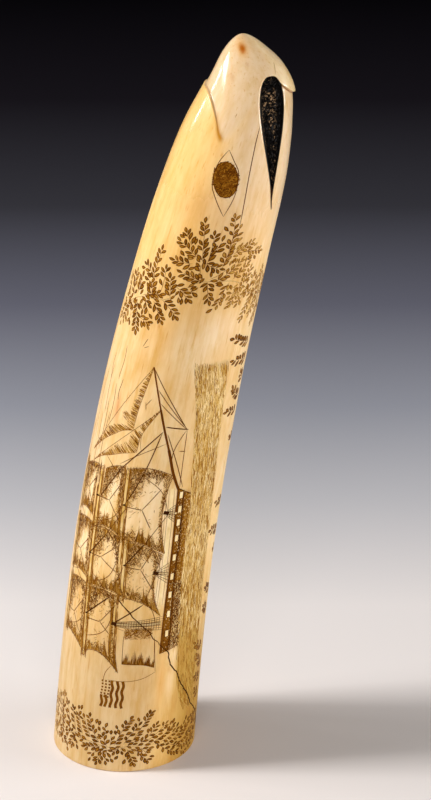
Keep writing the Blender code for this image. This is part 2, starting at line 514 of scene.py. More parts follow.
fine_turn = np.linspace(-math.pi, math.pi, FINE_TURNS)
beside = angle_from_front(fine_turn)
crowding = 1 + CROWDING * hump(beside, *CROWDED)
reached = np.concatenate(([0], np.cumsum((crowding[1:] + crowding[:-1]) / 2)))
column_turn = np.interp(np.arange(COLUMNS) / COLUMNS * reached[-1], reached, fine_turn)
carved = carved_level(angle_from_front(column_turn))

tip_share = 1 - (1 - np.linspace(0, 1, TIP_ROWS + 1)[1:, None]) ** TIP_CROWDING
tip_levels = tip_share * (carved - EDGE_WALL)
wall_levels = carved + EDGE_WALL * np.linspace(-1, 1, WALL_ROWS + 1)[1:, None]
edge_level = math.sqrt(1 - BASE_EDGE / HEIGHT)
head_share = np.linspace(0, HEAD_SHARE, HEAD_ROWS + 1)[1:, None]
head_levels = (carved + EDGE_WALL) * (1 - head_share) + edge_level * head_share
drop = np.linspace(0, 1, BODY_ROWS + 1)[1:, None]
body_levels = np.sqrt(head_levels[-1] ** 2 * (1 - drop) + edge_level**2 * drop)
levels = np.vstack((tip_levels, wall_levels, head_levels, body_levels))
turns = np.broadcast_to(column_turn, levels.shape)
rings = [skin(levels, turns)]
for quarter in np.radians(BASE_EDGE_TURNS):
    ring_level = math.sqrt(1 - BASE_EDGE * (1 - math.sin(quarter)) / HEIGHT)
    inward = SKIN_INSET + BASE_EDGE * (1 - math.cos(quarter))
    rings.append(skin(np.full((1, COLUMNS), ring_level), column_turn[None, :], inward))
base_ring = rings[-1][0]
for share in np.linspace(1, 0, CAP_ROWS + 1)[1:-1]:
    rings.append((base_ring * (share, share, 1))[None])
apex = np.array([[section(np.zeros(1))[0][0], 0.0, HEIGHT - SKIN_INSET]])
middle_of_base = np.zeros((1, 3))
grid = np.concatenate(rings)
skin_points, mouth_gap = cut_mouth(grid.reshape(-1, 3))
skin_points = np.vstack((apex, skin_points, middle_of_base))
mouth_gap = np.concatenate(([MOUTH_REACH], mouth_gap, [MOUTH_REACH]))
skin_rows = len(grid)
around = np.arange(COLUMNS)
after = (around + 1) % COLUMNS
last_ring = 1 + (skin_rows - 1) * COLUMNS
tip_fan = np.column_stack((0 * around, 1 + around, 1 + after))
base_fan = np.column_stack((last_ring + after, last_ring + around, 0 * around + len(skin_points) - 1))
skin_faces = [*tip_fan, *grid_faces(skin_rows, COLUMNS, first=1), *base_fan]

# Where each point of the skin lies on the sheet, for the colours that are worked out place by place.
skin_levels = np.concatenate((levels, np.ones((skin_rows - len(levels), COLUMNS)))).ravel()
skin_turns = np.tile(column_turn, skin_rows)
skin_levels = np.concatenate(([0], skin_levels, [1]))
skin_turns = np.concatenate(([0], skin_turns, [0]))
skin_angle = angle_from_front(skin_turns)
_, widths, thicknesses = section(skin_levels)
skin_round = skin_turns * (widths + thicknesses) / 2 / MM
skin_height = skin_points[:, 2] / MM
below_edge = (skin_levels - carved_level(skin_angle)) * 2 * skin_levels * HEIGHT / MM


def washed(colours, colour, share):
    """The colours, each mixed with one more by its share."""
    return colours * (1 - share[:, None]) + np.array(colour) * share[:, None]


def spotted(colours, spots):
    """The colours with soft spots washed over them.  A spot is 1 in its middle on the sheet and falls off
    as exp(-distance squared), and its stretch lengthens it along the tusk."""
    for (middle_round, middle_height), radius, stretch, colour, share in spots:
        off_round = (skin_round - middle_round) / radius
        off_height = (skin_height - middle_height) / radius / stretch
        colours = washed(colours, srgb(*colour), share * np.exp(-(off_round**2 + off_height**2)))
    return colours


# Masks for the washes, from 0 to 1.  Turns are degrees from the middle of either side, positive towards
# the front, and heights are millimetres.
side_turn = 90 - np.abs((np.degrees(skin_turns) + 90) % 360 - 180)
no_edge = hump(skin_angle, 50, 64, 98, 110)
head = np.maximum(
    1 - ease(below_edge, -0.1 - 7 * no_edge, 0.1 + 9 * no_edge),
    ease(side_turn, -26, 14) * (1 - ease(HEIGHT / MM - skin_height, 42, 102)),
)
# Painted light on the hook's front: the mask of a cream wash that brightens it as if lit from the right.
painted_hook_light = (1 - ease(skin_angle, 24, 58)) * hump(below_edge, -16, -5, -0.3, 0.1)
# Painted shade: a thin dark brown line just under the hook's carved edge, where its step throws a shadow.
hook_shadow_line = (1 - ease(skin_angle, 40, 56)) * np.exp(-((below_edge - 0.15) / 0.33) ** 2)
nape_line = ease(skin_angle, 104, 112) * np.exp(-((below_edge + 0.18) / 0.24) ** 2)
nape_pool = hump(skin_angle, 105, 109, 112, 130) * np.exp(-((below_edge / 1.3) ** 2))
low_down = 1 - ease(skin_height, 40, 85)

ivory = np.tile(GOLD, (len(skin_points), 1))
for colour, share, mask in (
    (HONEY, 1.00, ease(skin_height, 120, 235)),
    # Painted light: cream towards the front edge of either side, where the light from the right falls.
    (CREAM_PAINTED_LIGHT, 0.50, ease(side_turn, 30, 75)),
    # Painted rim light: paler along the back edge of either side, up to about 150 to 190 mm high.
    (PALE_PAINTED_RIM_LIGHT, 0.60, ease(-side_turn, 35, 80) * (1 - ease(skin_height, 150, 190))),
    (MID_PALE, 0.30, hump(skin_height, 100, 135, 200, 222)),
    (HEAD_PALE, 0.85, head),
    # Painted light: the front of the hook made brighter with cream.
    (CREAM_PAINTED_LIGHT, 0.70, painted_hook_light),
    (LOW_PALE, 0.90, (1 - ease(side_turn, 8, 30)) * low_down),
    (STRAW, 0.60, np.exp(-((side_turn / 18) ** 2)) * low_down),
    (AMBER, 0.80, ease(side_turn, 12, 55) * (1 - ease(skin_height, 20, 100))),
    (DEEP_AMBER, 0.90, ease(side_turn, 34, 64) * (1 - ease(skin_height, 20, 75))),
    # Dark brown lines on the carved edges: under the hook's edge it is painted shadow, along the nape's
    # edge a brown line.
    (EDGE_LINE_BROWN, 1.00, np.clip(0.8 * hook_shadow_line + 0.40 * nape_line, 0, 1)),
    (POOLED_STAIN, 0.95, nape_pool),
):
    ivory = washed(ivory, colour, share * mask)
ivory = spotted(ivory, SKIN_SPOTS)

ivory_material, ivory_shader, start = start_material("ivory")
own = start.stored("unbent", "Vector")
tone = start.stored("tone", "Color")
gap = start.stored("mouth_gap", "Fac")
polish = start.stored("polish", "Fac")
bands = start.noise(start.stretched(own, BAND_GRAIN), 4, 0.6)
grain = start.noise(start.stretched(own, FINE_GRAIN), 3, 0.6)
clouds = start.noise(start.stretched(own, CLOUDS), 5, 0.65)
flecks = start.noise(start.stretched(own, FLECKS), 2, 0.5)
warm = bands.rise(0.36, 0.66) * 0.5 + grain.rise(0.42, 0.72) * 0.36 + clouds.rise(0.42, 0.68) * 0.42
warmth = start.math("MULTIPLY", warm, 1 - polish * 0.40, clamp=True)
golden = start.mix(COOL_TINT, WARM_TINT, warmth)
flecked = start.mix(NO_TINT, FLECK_TINT, flecks.rise(0.60, 0.78))
grained = start.mix(tone, golden, 1.0, "MULTIPLY")
grained = start.mix(grained, flecked, 1.0, "MULTIPLY")
pocket = 1 - gap.rise(0.02, 0.14)
feed(ivory_shader, "Base Color", start.mix(grained, (*BLACK, 1.0), pocket))
satin = 0.45 - polish * 0.32 + grain * (0.26 - polish * 0.20)
feed(ivory_shader, "Roughness", satin + pocket * 0.25)
ripple = start.noise(start.stretched(own, RIPPLES), 3, 0.5) + grain * 0.6
ripple = ripple * (1 - polish * 0.85)
feed(ivory_shader, "Normal", start.node(
    "ShaderNodeBump", None, {"Height": ripple, "Strength": 0.25, "Distance": RIPPLE_DEPTH}))
hold(ivory_shader, {
    "Specular IOR Level": 0.55,
    "IOR": 1.54,
    "Subsurface Weight": 0.12,
    "Subsurface Radius": (0.004, 0.002, 0.0008),
    "Subsurface Scale": 1.0,
})

tusk = new_piece("ivory_tusk", skin_points, skin_faces, ivory_material)
mean_round = (widths + thicknesses) / 2
unbent = np.column_stack((
    mean_round * np.sin(skin_turns), -mean_round * np.cos(skin_turns), skin_points[:, 2]))
add_field(tusk.data, "unbent", "FLOAT_VECTOR", "vector", unbent)
add_field(tusk.data, "mouth_gap", "FLOAT", "value", mouth_gap / MM)
add_field(tusk.data, "polish", "FLOAT", "value", np.maximum(head, 0.92 * ease(skin_height, 226, 252)))
tusk.data.set_sharp_from_angle(angle=math.radians(SHARP_ANGLE))
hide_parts("tusk")

# The skin unrolled for its baked colours: round the tusk across, down the tusk upwards, the base apart.
across = np.append(np.interp(column_turn, fine_turn, np.linspace(0, 1, FINE_TURNS)), 1.0)
down = np.concatenate(([0], np.cumsum(np.linalg.norm(np.diff(
    np.vstack((apex, grid[:, COLUMNS // 2])), axis=0), axis=1))))
down = UV_TOP - UV_HEIGHT * down / down[-1]
left, right = across[:-1], across[1:]
row_up, row_low = down[1:-1, None], down[2:, None]
tip_corners = ((left + right) / 2, down[0], left, down[1], right, down[1])
side_corners = (left, row_up, left, row_low, right, row_low, right, row_up)
base_corners = (right, down[-1], left, down[-1], (left + right) / 2, 0.0)
unrolled = tusk.data.uv_layers.new(name="OFBake")
unrolled.data.foreach_set("uv", np.concatenate([
    np.stack(np.broadcast_arrays(*corners), axis=-1).ravel()
    for corners in (tip_corners, side_corners, base_corners)]).astype(np.float32))


# Mouth filling
# The two pockets are coated inside with black pitch, laid on thickly, rough and grainy on the floor.  Its
# pale specks are partly grains caught in it and partly painted glints, and none lie near a pocket's front
# edge.
FILL_ACROSS = 44
FILL_DOWN = 170
FILL_ENDS = (0.03, math.pi * 0.992)  # where the coat starts and stops on the half turn down a pocket
FILL_THICKNESS = 0.00035
FILL_GRAIN = 0.00035
FILL_CLEARANCE = 0.00012
FILL_NARROWEST = 0.00002
FILL_RISE = 0.0035
FILL_BELOW_SKIN = 0.0007
PALE_SPECK_AND_GLINT = srgb(204, 166, 124)
GRAINS_PER_METRE = 2000.0
PATCHES = (330, 330, 160)
SPECKLESS_FRONT = (0.004, 0.009)
PITCH_SMEARS = (900, 900, 900)
PITCH_LUMPS = (1400, 1400, 1400)
PITCH_DEPTH = 0.0006

pitch, pitch_shader, start = start_material("black_pitch")
place = start.object_place()
# Pale specks: partly grains in the pitch and partly painted glints.
grains = start.node("ShaderNodeTexVoronoi", None, {"Vector": place, "Scale": GRAINS_PER_METRE}, "Color")
grain_pick = start.node("ShaderNodeSeparateColor", None, {0: grains}, 0)
patches = grain_pick.rise(0.76, 0.94) * start.noise(start.stretched(place, PATCHES)).rise(0.42, 0.56)
forward = start.node("ShaderNodeSeparateXYZ", None, {0: place}, "X")
front_edge = forward.rise(*((MOUTH_TOP[0] + share) * HEIGHT for share in SPECKLESS_FRONT))
specks_and_glints = patches * (1 - front_edge)
feed(pitch_shader, "Base Color", start.mix((*BLACK, 1.0), (*PALE_SPECK_AND_GLINT, 1.0), specks_and_glints))
feed(pitch_shader, "Roughness", 0.30 + start.noise(start.stretched(place, PITCH_SMEARS)) * 0.35)
lumpy = start.noise(start.stretched(place, PITCH_LUMPS), 4, 0.7)
feed(pitch_shader, "Normal", start.node(
    "ShaderNodeBump", None, {"Height": lumpy, "Strength": 0.9, "Distance": PITCH_DEPTH}))
hold(pitch_shader, {"Specular IOR Level": 0.28})

chance = np.random.default_rng(11)
fill_share = (1 - np.cos(np.linspace(*FILL_ENDS, FILL_DOWN))) / 2
fill_off = np.sin(np.linspace(-1, 1, FILL_ACROSS) * math.pi / 2)
half = mouth_half(fill_share)[:, None] - FILL_CLEARANCE
middle, height = (part[:, None] for part in mouth_middle(fill_share))
fill_x = middle + np.maximum(half, FILL_NARROWEST) * fill_off
lumps = chance.normal(0, 1, (FILL_DOWN, FILL_ACROSS))
lumps = (lumps + np.roll(lumps, 1, 0) + np.roll(lumps, 1, 1) + np.roll(lumps, (1, 1), (0, 1))) / 2
coat = FILL_THICKNESS + FILL_GRAIN * lumps * (1 - np.abs(fill_off) ** 8)
wall_rise = FILL_RISE * np.abs(fill_off) ** 14
fill_y = mouth_floor(fill_share)[:, None] + coat + wall_rise
oval_middle, oval_width, oval_thickness = section(np.sqrt(1 - height / HEIGHT))
surface_y = oval_thickness * np.sqrt(np.clip(1 - ((fill_x - oval_middle) / oval_width) ** 2, 0, 1))
fill_y = np.minimum(fill_y, surface_y - FILL_BELOW_SKIN)
for side, word in ((-1, "near"), (1, "far")):
    points = np.stack((fill_x, side * fill_y, height + 0 * fill_x), axis=-1).reshape(-1, 3)
    faces = grid_faces(FILL_DOWN, FILL_ACROSS, closed=False)
    new_piece(f"mouth_pitch_{word}", points, faces if side < 0 else faces[:, ::-1], pitch)


# Eye and jaw line
# Cut with a fine point and rubbed with brown ink: a round iris full of curled strokes between two
# lids, and one long line down from the mouth.
EYE_MIDDLE = (-0.95, 251.5)
IRIS = (4.10, 6.75)
IRIS_LEAN = -0.221
LIDS = (
    ((-2.2, 262.6), (-4.6, 258.0), (-5.4, 253.2), (-4.85, 248.6), (-3.3, 245.4), (1.45, 237.65)),
    ((-2.2, 262.6), (0.5, 258.3), (2.6, 254.8), (3.4, 250.4), (3.5, 246.2), (1.45, 237.65)),
)
JAW_LINE = ((6.0, 271.0), (6.4, 261.0), (6.8, 252.0), (7.4, 244.0), (8.2, 234.0))
MOUTH_CUT = ((17.4, 246.6), (19.2, 241.6), (20.1, 239.1), (21.2, 236.4))
IRIS_ROWS = 90
IRIS_CURLS = 460
INK_STEPS = (  # strength of the ink, and its colour there
    (0.0, srgb(252, 226, 170)),
    (0.2, srgb(208, 164, 82)),
    (0.45, srgb(156, 104, 26)),
    (0.7, srgb(104, 54, 4)),
    (1.0, srgb(44, 18, 4)),
)
INK_PATCHES = (260, 260, 180)
LIFT = 0.000010  # metres from the skin to the lowest lines, and from one layer of lines to the next
LAYER = 0.000005
TURN_STEP = 0.002
SHEET_SIZE = (200, 302)

ink, ink_shader, start = start_material("brown_ink")
place = start.object_place()
strength = start.stored("strength", "Fac")
patchy = start.noise(start.stretched(place, INK_PATCHES), 3, 0.6) - 0.5
feed(ink_shader, "Base Color", start.node(
    "ShaderNodeValToRGB", {"stops": INK_STEPS}, {"Fac": strength + patchy * 0.35}))
feed(ink_shader, "Roughness", 0.45 + patchy * 0.2)
hold(ink_shader, {"Specular IOR Level": 0.03})


def on_tusk(place, lift=0.0):
    """Surface point at a place on the sheet, moved out by the lift along the cross product of the
    surface's runs down the tusk and round it."""
    level = np.sqrt(np.clip(1 - place[..., 1] * MM / HEIGHT, 0, 1))
    _, half_width, half_thickness = section(level)
    turn = place[..., 0] * MM * 2 / (half_width + half_thickness)
    point = skin(level, turn)
    round_run = skin(level, turn + TURN_STEP) - skin(level, turn - TURN_STEP)
    down_run = skin(level + TURN_STEP, turn) - skin(level - TURN_STEP, turn)
    out = np.cross(down_run, round_run)
    out /= np.linalg.norm(out, axis=-1, keepdims=True)
    return point + out * np.asarray(lift)[..., None]


def lines(paths, width, strength, layer=1, shape="line", spacing=0.9, points=2):
    """Ribbons along paths on the sheet: each path is resampled evenly, and its two edges lie half the
    width to either side, square to its run.  The shape says how the width runs out: a line is tapered
    at its ends, a hair from its start to its end, and a leaf is widest before its middle.  The strength
    of the ink is 0 to 1, and a line on a higher layer lies over those on lower ones."""
    paths = np.asarray(paths, float)
    paths = paths[None] if paths.ndim == 2 else paths
    longest = np.linalg.norm(np.diff(paths, axis=1), axis=2).sum(axis=1).max()
    count = max(points, int(longest / spacing) + 2)
    at = np.linspace(0, 1, count)
    step = at * (paths.shape[1] - 1)
    k = np.minimum(step.astype(int), paths.shape[1] - 2)
    t = (step - k)[None, :, None]
    course = paths[:, k] * (1 - t) + paths[:, k + 1] * t
    run = np.gradient(course, axis=1)
    run /= np.linalg.norm(run, axis=2, keepdims=True) + 1e-9
    side = np.stack((-run[..., 1], run[..., 0]), axis=2)
    taper = {
        "line": np.minimum(1, 0.35 + 6 * np.minimum(at, 1 - at)),
        "hair": 1.05 - at,
        "leaf": np.sin(math.pi * np.clip(at, 0.01, 0.985) ** 1.2) ** 0.75,
        "even": np.ones(count),
    }[shape]
    half = (np.broadcast_to(np.reshape(width, (-1, 1)), (len(paths), 1)) * taper / 2)[..., None]
    tones = np.broadcast_to(np.reshape(strength, (-1, 1)), (len(paths), count))
    lift = LIFT + LAYER * (layer + 0.9 * (np.arange(len(paths)) % 11) / 11)
    return course - side * half, course + side * half, tones, np.broadcast_to(lift[:, None], tones.shape)


def engrave(name, groups):
    """One piece of all the ribbons: every path point gives two points on the tusk, and every two path
    points one face."""
    places, tones, lifts, faces, first = [], [], [], [], 0
    for left_edge, right_edge, tone_of, lift in groups:
        count, long = tone_of.shape
        places.append(np.stack((left_edge, right_edge), axis=2).reshape(-1, 2))
        tones.append(np.repeat(tone_of.ravel(), 2))
        lifts.append(np.repeat(lift.ravel(), 2))
        start_of = first + 2 * long * np.arange(count)[:, None] + 2 * np.arange(long - 1)[None, :]
        start_of = start_of.ravel()
        faces.append(np.column_stack((start_of, start_of + 2, start_of + 3, start_of + 1)))
        first += 2 * long * count
    places = np.concatenate(places)
    piece = new_piece(name, on_tusk(places, np.concatenate(lifts)), np.concatenate(faces), ink)
    add_field(piece.data, "strength", "FLOAT", "value", np.concatenate(tones))
    flat = piece.data.uv_layers.new(name="OFBake")
    corner = np.empty(len(piece.data.loops), np.int32)
    piece.data.loops.foreach_get("vertex_index", corner)
    flat_place = np.array((0.5, 0.0)) + places / SHEET_SIZE
    flat.data.foreach_set("uv", flat_place[corner].astype(np.float32).ravel())
    return piece


def dashes(middle, heading, length, bow=0.0, points=4):
    """Short curved paths: each runs its length along its heading through its middle, bowed sideways by
    a share of the length."""
    middle = np.asarray(middle, float).reshape(-1, 1, 2)
    heading = np.reshape(heading, (-1, 1))
    length = np.reshape(length, (-1, 1))
    t = np.linspace(-0.5, 0.5, points)[None, :]
    forward = t * length
    sideways = np.reshape(bow, (-1, 1)) * length * (1 - 4 * t**2)
    x = forward * np.cos(heading) - sideways * np.sin(heading)
    y = forward * np.sin(heading) + sideways * np.cos(heading)
    return middle + np.stack(np.broadcast_arrays(x, y), axis=-1)


def along(stem, count):
    """Points and headings evenly spaced on a smooth curve through the stem's points."""
    stem = np.array(stem, float)
    at = np.concatenate(([0], np.cumsum(np.linalg.norm(np.diff(stem, axis=0), axis=1))))
    where = np.linspace(0, at[-1], count)
    line = np.column_stack((smooth(at, stem[:, 0], where), smooth(at, stem[:, 1], where)))
    run = np.gradient(line, axis=0)
    return line, np.arctan2(run[:, 1], run[:, 0])


def draw_eye():
    """The iris filled with curled strokes, its rim, the lids and the jaw line."""
    chance = np.random.default_rng(5)
    rows = np.linspace(-1, 1, IRIS_ROWS)
    row_middle = EYE_MIDDLE[0] + IRIS_LEAN * IRIS[1] * rows
    row_half = IRIS[0] * (1 - np.abs(rows) ** 2.2) ** 0.5
    row_y = EYE_MIDDLE[1] + IRIS[1] * rows
    rims = [np.column_stack((row_middle + side * row_half, row_y)) for side in (-1, 1)]
    ground = np.stack(rims, axis=1)
    groups = [lines(ground, 0.18, 0.60 + 0.06 * chance.random(IRIS_ROWS), 0, "even")]
    turn = chance.uniform(0, 2 * math.pi, IRIS_CURLS)
    out = np.sqrt(chance.uniform(0, 0.88, IRIS_CURLS))
    up = IRIS[1] * out * np.sin(turn)
    across = EYE_MIDDLE[0] + IRIS[0] * out * np.cos(turn) + IRIS_LEAN * up
    heading = chance.uniform(0, math.pi, IRIS_CURLS)
    length = chance.uniform(1.0, 2.8, IRIS_CURLS)
    bow = chance.uniform(-0.35, 0.35, IRIS_CURLS)
    curls = dashes(np.column_stack((across, EYE_MIDDLE[1] + up)), heading, length, bow, points=6)
    groups.append(lines(curls, 0.30, chance.uniform(0.44, 0.88, IRIS_CURLS), 1, spacing=0.5))
    groups += [lines(rim, 0.24, 0.80, 3, "even", spacing=0.6) for rim in rims]
    groups += [lines(along(lid, 60)[0], 0.25, 0.80, 4) for lid in LIDS]
    groups.append(lines(along(JAW_LINE, 60)[0], 0.32, 0.82, 1))
    groups.append(lines(along(MOUTH_CUT, 20)[0], 0.62, 1.0, 3))
    return groups


def mirrored(places):
    """The same places on the far side: as far round from the front as they were before it."""
    _, half_width, half_thickness = section(np.sqrt(np.clip(1 - places[..., 1] * MM / HEIGHT, 0, 1)))
    half_round = math.pi * (half_width + half_thickness) / 2 / MM
    return np.stack((half_round - places[..., 0], places[..., 1]), axis=-1)


eye = draw_eye()
engrave("eye_near", eye)
engrave("eye_far", [(mirrored(right), mirrored(left), tone_of, lift) for left, right, tone_of, lift in eye])


# Leaf garlands
# Two garlands of leafy sprigs run round the tusk, one below the head and one above the base, and a vine
# with short sprays joins them down the front.  They are cut and inked like the eye, leaf by leaf in pairs,
# and each leaf has a darker rim and a rib.
LEAF_ANGLE = math.radians(39)
LEAF_CLEARANCE = 0.22
UPPER_LEAF = (2.95, 1.38, 1.85, 0.30, 0.20)  # length, width, space between pairs, gap to the next leaf as a
LOWER_LEAF = (2.60, 1.34, 1.70, 0.41, 0.04)  # share of the length, and how much smaller the leaves are at
VINE_LEAF = (3.20, 1.50, 1.90, 0.30, 0.00)  # the garland's sides
UPPER_STEM = ((-36, 186), (-28, 198), (-22, 202), (-11, 204), (0, 212), (5, 212), (12, 211), (18, 207),
              (24, 202.5), (30, 197), (36, 189))
UPPER_SPRIGS = (  # foot and tip of each sprig on the sheet
    (-17, 204, -17.3, 223.5), (-16.5, 211, -24.3, 215.2), (-18, 205.5, -21.2, 212),
    (-24, 203, -23.2, 211), (-26, 201, -28.3, 211), (-29, 199, -32.5, 208), (-4.5, 219, -12.8, 219.8),
    (-9.5, 205, -11.4, 214), (-13.5, 206.5, -13.6, 217), (-3.5, 221.5, -12, 228.3),
    (-6, 225.5, -10.4, 232), (-1.5, 220, -4.3, 236.8), (0.3, 219, 0.4, 232), (1.2, 221, 4.0, 229.5),
    (-2, 221, 6.5, 216), (0, 212.3, -8.9, 216), (-1, 212, -2, 221), (-9, 210, -2, 204),
    (-12, 203.5, -4.8, 197), (-15.5, 202.3, -10, 194.3), (-19.5, 202, -15.3, 195.5),
    (-23, 200, -20.4, 187.8), (-22, 196.5, -15.3, 192.7), (-26, 199, -30.5, 190),
    (-26.5, 196.5, -24.5, 190), (-30, 196, -34, 189), (5, 212, 14, 220.3), (5.5, 215, 6.0, 238.4),
    (6.5, 224.5, 9.0, 234), (9, 222.5, 16.8, 226.4), (11.5, 222.5, 22.4, 220.6), (11, 212, 17, 218),
    (16, 208.5, 18.8, 216.2), (20, 205.5, 21.2, 213), (24, 202.5, 23, 210.5), (28, 199, 26, 213.5),
    (2, 212, 4.4, 203), (10, 211, 7, 200.8), (15, 209, 12.2, 200.4), (19, 206, 14.6, 200),
    (22.5, 203.5, 18.7, 192.4), (26, 200.5, 23.4, 193), (30, 197, 27.2, 188), (31, 199, 31, 208),
    (2.5, 213, 9.5, 217.5), (-6, 208, 0.5, 208), (17, 207, 9.5, 205.4), (-21, 203, -12, 206),
)
LOWER_STEM = ((-52, 21), (-40, 15), (-30, 13.5), (-22, 13), (-14, 12.5), (-6, 11.3), (2, 12), (10, 12),
              (18, 9.5), (26, 6), (34, 5), (44, 9))
LOWER_SPRIGS = (
    (-6.8, 11.5, -10.3, 19.6), (-9.5, 12.5, -15.1, 24.8), (-13, 14, -17.5, 23.6),
    (-17, 14.5, -20.3, 26.4), (-20.5, 14.5, -23.2, 25.6), (-24, 14, -26.8, 26.6),
    (-27, 14, -29.6, 28.9), (-30.5, 14, -33, 27), (-34, 14, -37, 25), (-38, 13, -41, 23),
    (-43, 16, -46, 24), (-9, 11.3, -16.9, 9), (-8.5, 9.8, -13.9, 6.6), (-7.8, 9.5, -10.9, 2.7),
    (-6.5, 9.5, -7.3, 3.4), (-21, 13, -22.8, 6.4), (-24.3, 13, -26.3, 6.4), (-29, 13, -31, 7),
    (-34, 13, -36, 7), (-14, 12.5, -21, 12.3), (-5.5, 11.5, -5.4, 18.7), (-4, 12, 1.8, 25.9),
    (-0.5, 13, 5.5, 22.7), (2.5, 14, 9.9, 28.5), (5.5, 13, 12.5, 21.5), (8, 13.5, 16.7, 20.7),
    (10, 12.5, 20.2, 18.5), (14, 12, 22.5, 15.2), (17, 10.5, 25, 14.4), (20, 9.5, 30.5, 17.2),
    (23, 8, 31.8, 10.8), (25, 6.5, 34, 5.4), (-2, 11.5, -5.8, 8.2), (1, 10.8, 4.3, 2.8),
    (4, 10.8, 10.9, 3.2), (6, 11, 9.6, 6.2), (12, 12.3, 28.5, 1.4), (15, 11.5, 32, 2.6),
    (32, 6, 38, 13), (-1.5, 11, -1, 8.4), (-25, 12, -18, 15.5), (30, 12, 36, 18),
)
VINE_STEM = ((30, 197), (32, 184), (33.5, 168), (35, 150), (38, 125), (41, 100), (42, 75), (40, 50),
             (38, 30), (37, 9))
VINE_SPRAYS = (
    (30.5, 181, 17.4, 186.6), (31.5, 173, 20, 176.9), (33, 157.5, 24.4, 164.2), (33, 164, 28.8, 169),
    (32.5, 151, 22.8, 154.3), (36, 139, 31, 141), (37, 112.5, 28.4, 113.6), (37, 98, 27.4, 102),
    (38, 89, 34, 91), (38, 71.5, 30.4, 75.4), (37, 63, 30.8, 66.8), (35, 47.5, 26.9, 51.9),
    (36, 38, 30, 45), (36, 32, 29.8, 35.5), (36, 25.5, 30.8, 29),
)
GARLAND_STAIN = (((-2.0, 213.0), 17.0, 1.0, (208, 160, 78), 0.60),)
FAR_UPPER_STEM = ((34, 190), (44, 196), (56, 203), (70, 205), (84, 200), (95, 188), (99, 176))
FAR_LOWER_STEM = ((44, 12), (56, 14), (70, 10), (84, 13), (98, 11), (112, 14), (118, 24))


def sprig(foot, tip, leaf, chance):
    """A stem with pairs of leaves along it and one at its end; the leaves shorten towards the tip.
    Gives the stem's path, and each leaf's foot, heading and length."""
    foot, tip = np.array(foot, float), np.array(tip, float)
    run = tip - foot
    long = np.linalg.norm(run) - 0.7 * leaf[0]
    run = run / np.linalg.norm(run)
    heading = math.atan2(run[1], run[0])
    across = np.array((-run[1], run[0]))
    curve = chance.uniform(-0.08, 0.08) * long
    t = np.linspace(0, 1, 12)
    stem = foot + long * run * t[:, None] + across * (curve * np.sin(math.pi * t))[:, None]
    pairs = max(1, int(round(long / leaf[2])))
    at = (np.arange(pairs) + 0.35) / pairs
    joint = foot + long * run * at[:, None] + across * (curve * np.sin(math.pi * at))[:, None]
    bend = heading + curve * math.pi * np.cos(math.pi * at) / long
    joint = np.vstack((joint, joint + 0.35 * run, stem[-1:]))
    at = np.concatenate((at, at, [1.0]))
    turned = np.concatenate((bend + LEAF_ANGLE, bend - LEAF_ANGLE, bend[-1:]))
    turned = turned + chance.normal(0, 0.10, len(at))
    joint = joint + LEAF_CLEARANCE * np.column_stack((np.cos(turned), np.sin(turned)))
    length = leaf[0] * (1.06 - 0.20 * at) * chance.uniform(0.90, 1.08, len(at))
    return stem, joint, turned, length


def in_between(sprigs, leaf, tries, chance):
    """Single leaves tried in the spaces between sprigs, each turned like a leaf of the nearest one."""
    ends = np.array(sprigs, float)
    chosen = chance.integers(0, len(ends), tries)
    foot = ends[chosen, 0] + (ends[chosen, 1] - ends[chosen, 0]) * chance.uniform(-0.1, 0.8, (tries, 1))
    foot = foot + chance.uniform(-2.2, 2.2, (tries, 2))
    run = ends[:, 1] - ends[:, 0]
    share = np.clip(((foot[:, None] - ends[:, 0]) * run).sum(-1) / (run * run).sum(-1), 0, 1)
    off = foot[:, None] - ends[:, 0] - share[..., None] * run
    distance = np.linalg.norm(off, axis=-1)
    nearest = distance.argmin(axis=1)
    two_near = np.sort(distance, axis=1)[:, 1] < 3.0
    near_run, near_off = run[nearest], off[np.arange(tries), nearest]
    side = np.sign(near_run[:, 0] * near_off[:, 1] - near_run[:, 1] * near_off[:, 0])
    turned = np.arctan2(near_run[:, 1], near_run[:, 0]) + LEAF_ANGLE * side + chance.normal(0, 0.12, tries)
    length = leaf[0] * chance.uniform(0.80, 1.0, tries)
    return foot[two_near], turned[two_near], length[two_near]


def clear_leaves(foot, turned, length, gap):
    """Picks leaves in turn that keep clear of those already picked, each held as four points."""
    away = np.column_stack((np.cos(turned), np.sin(turned)))
    at = np.array((0.36, 0.56, 0.76, 0.96))
    held = foot[:, None] + away[:, None] * (length[:, None] * at)[..., None]
    picked = []
    for k, place in enumerate(held):
        off = held[picked][:, :, None] - place
        if not picked or (off**2).sum(-1).min() > (gap * length[k]) ** 2:
            picked.append(k)
    return picked


def leaves(foot, turned, length, leaf, pale_front, chance):
    """Ribbons of leaves that stand with their pointed foot at a place and run out along a heading: a
    dark blade with a paler middle and a rib.  They are paler towards both sides of the tusk."""
    away = np.column_stack((np.cos(turned), np.sin(turned)))
    middles = foot + away * (length / 2)[:, None]
    width = leaf[1] * length / leaf[0] * chance.uniform(0.88, 1.12, len(length))
    middle_share = ease(foot[:, 0], -36, -24) * (1 - pale_front * ease(foot[:, 0], 1, 13))
    shade = chance.uniform(0.20, 0.40, len(length)) + 0.20 * middle_share
    pale = middles + 0.10 * away + 0.06 * np.column_stack((-away[:, 1], away[:, 0]))
    rim = np.clip(shade + 0.30, 0, 0.95)
    return [
        lines(dashes(middles, turned, length, 0.05, 8), width, rim, 1, "leaf", points=8),
        lines(dashes(pale, turned, length * 0.68, 0.06, 6), width * 0.52, shade, 2, "leaf", points=6),
        lines(dashes(middles, turned, length * 0.8, 0.04, 3), 0.12, shade + 0.34, 3, "hair", points=3),
    ]


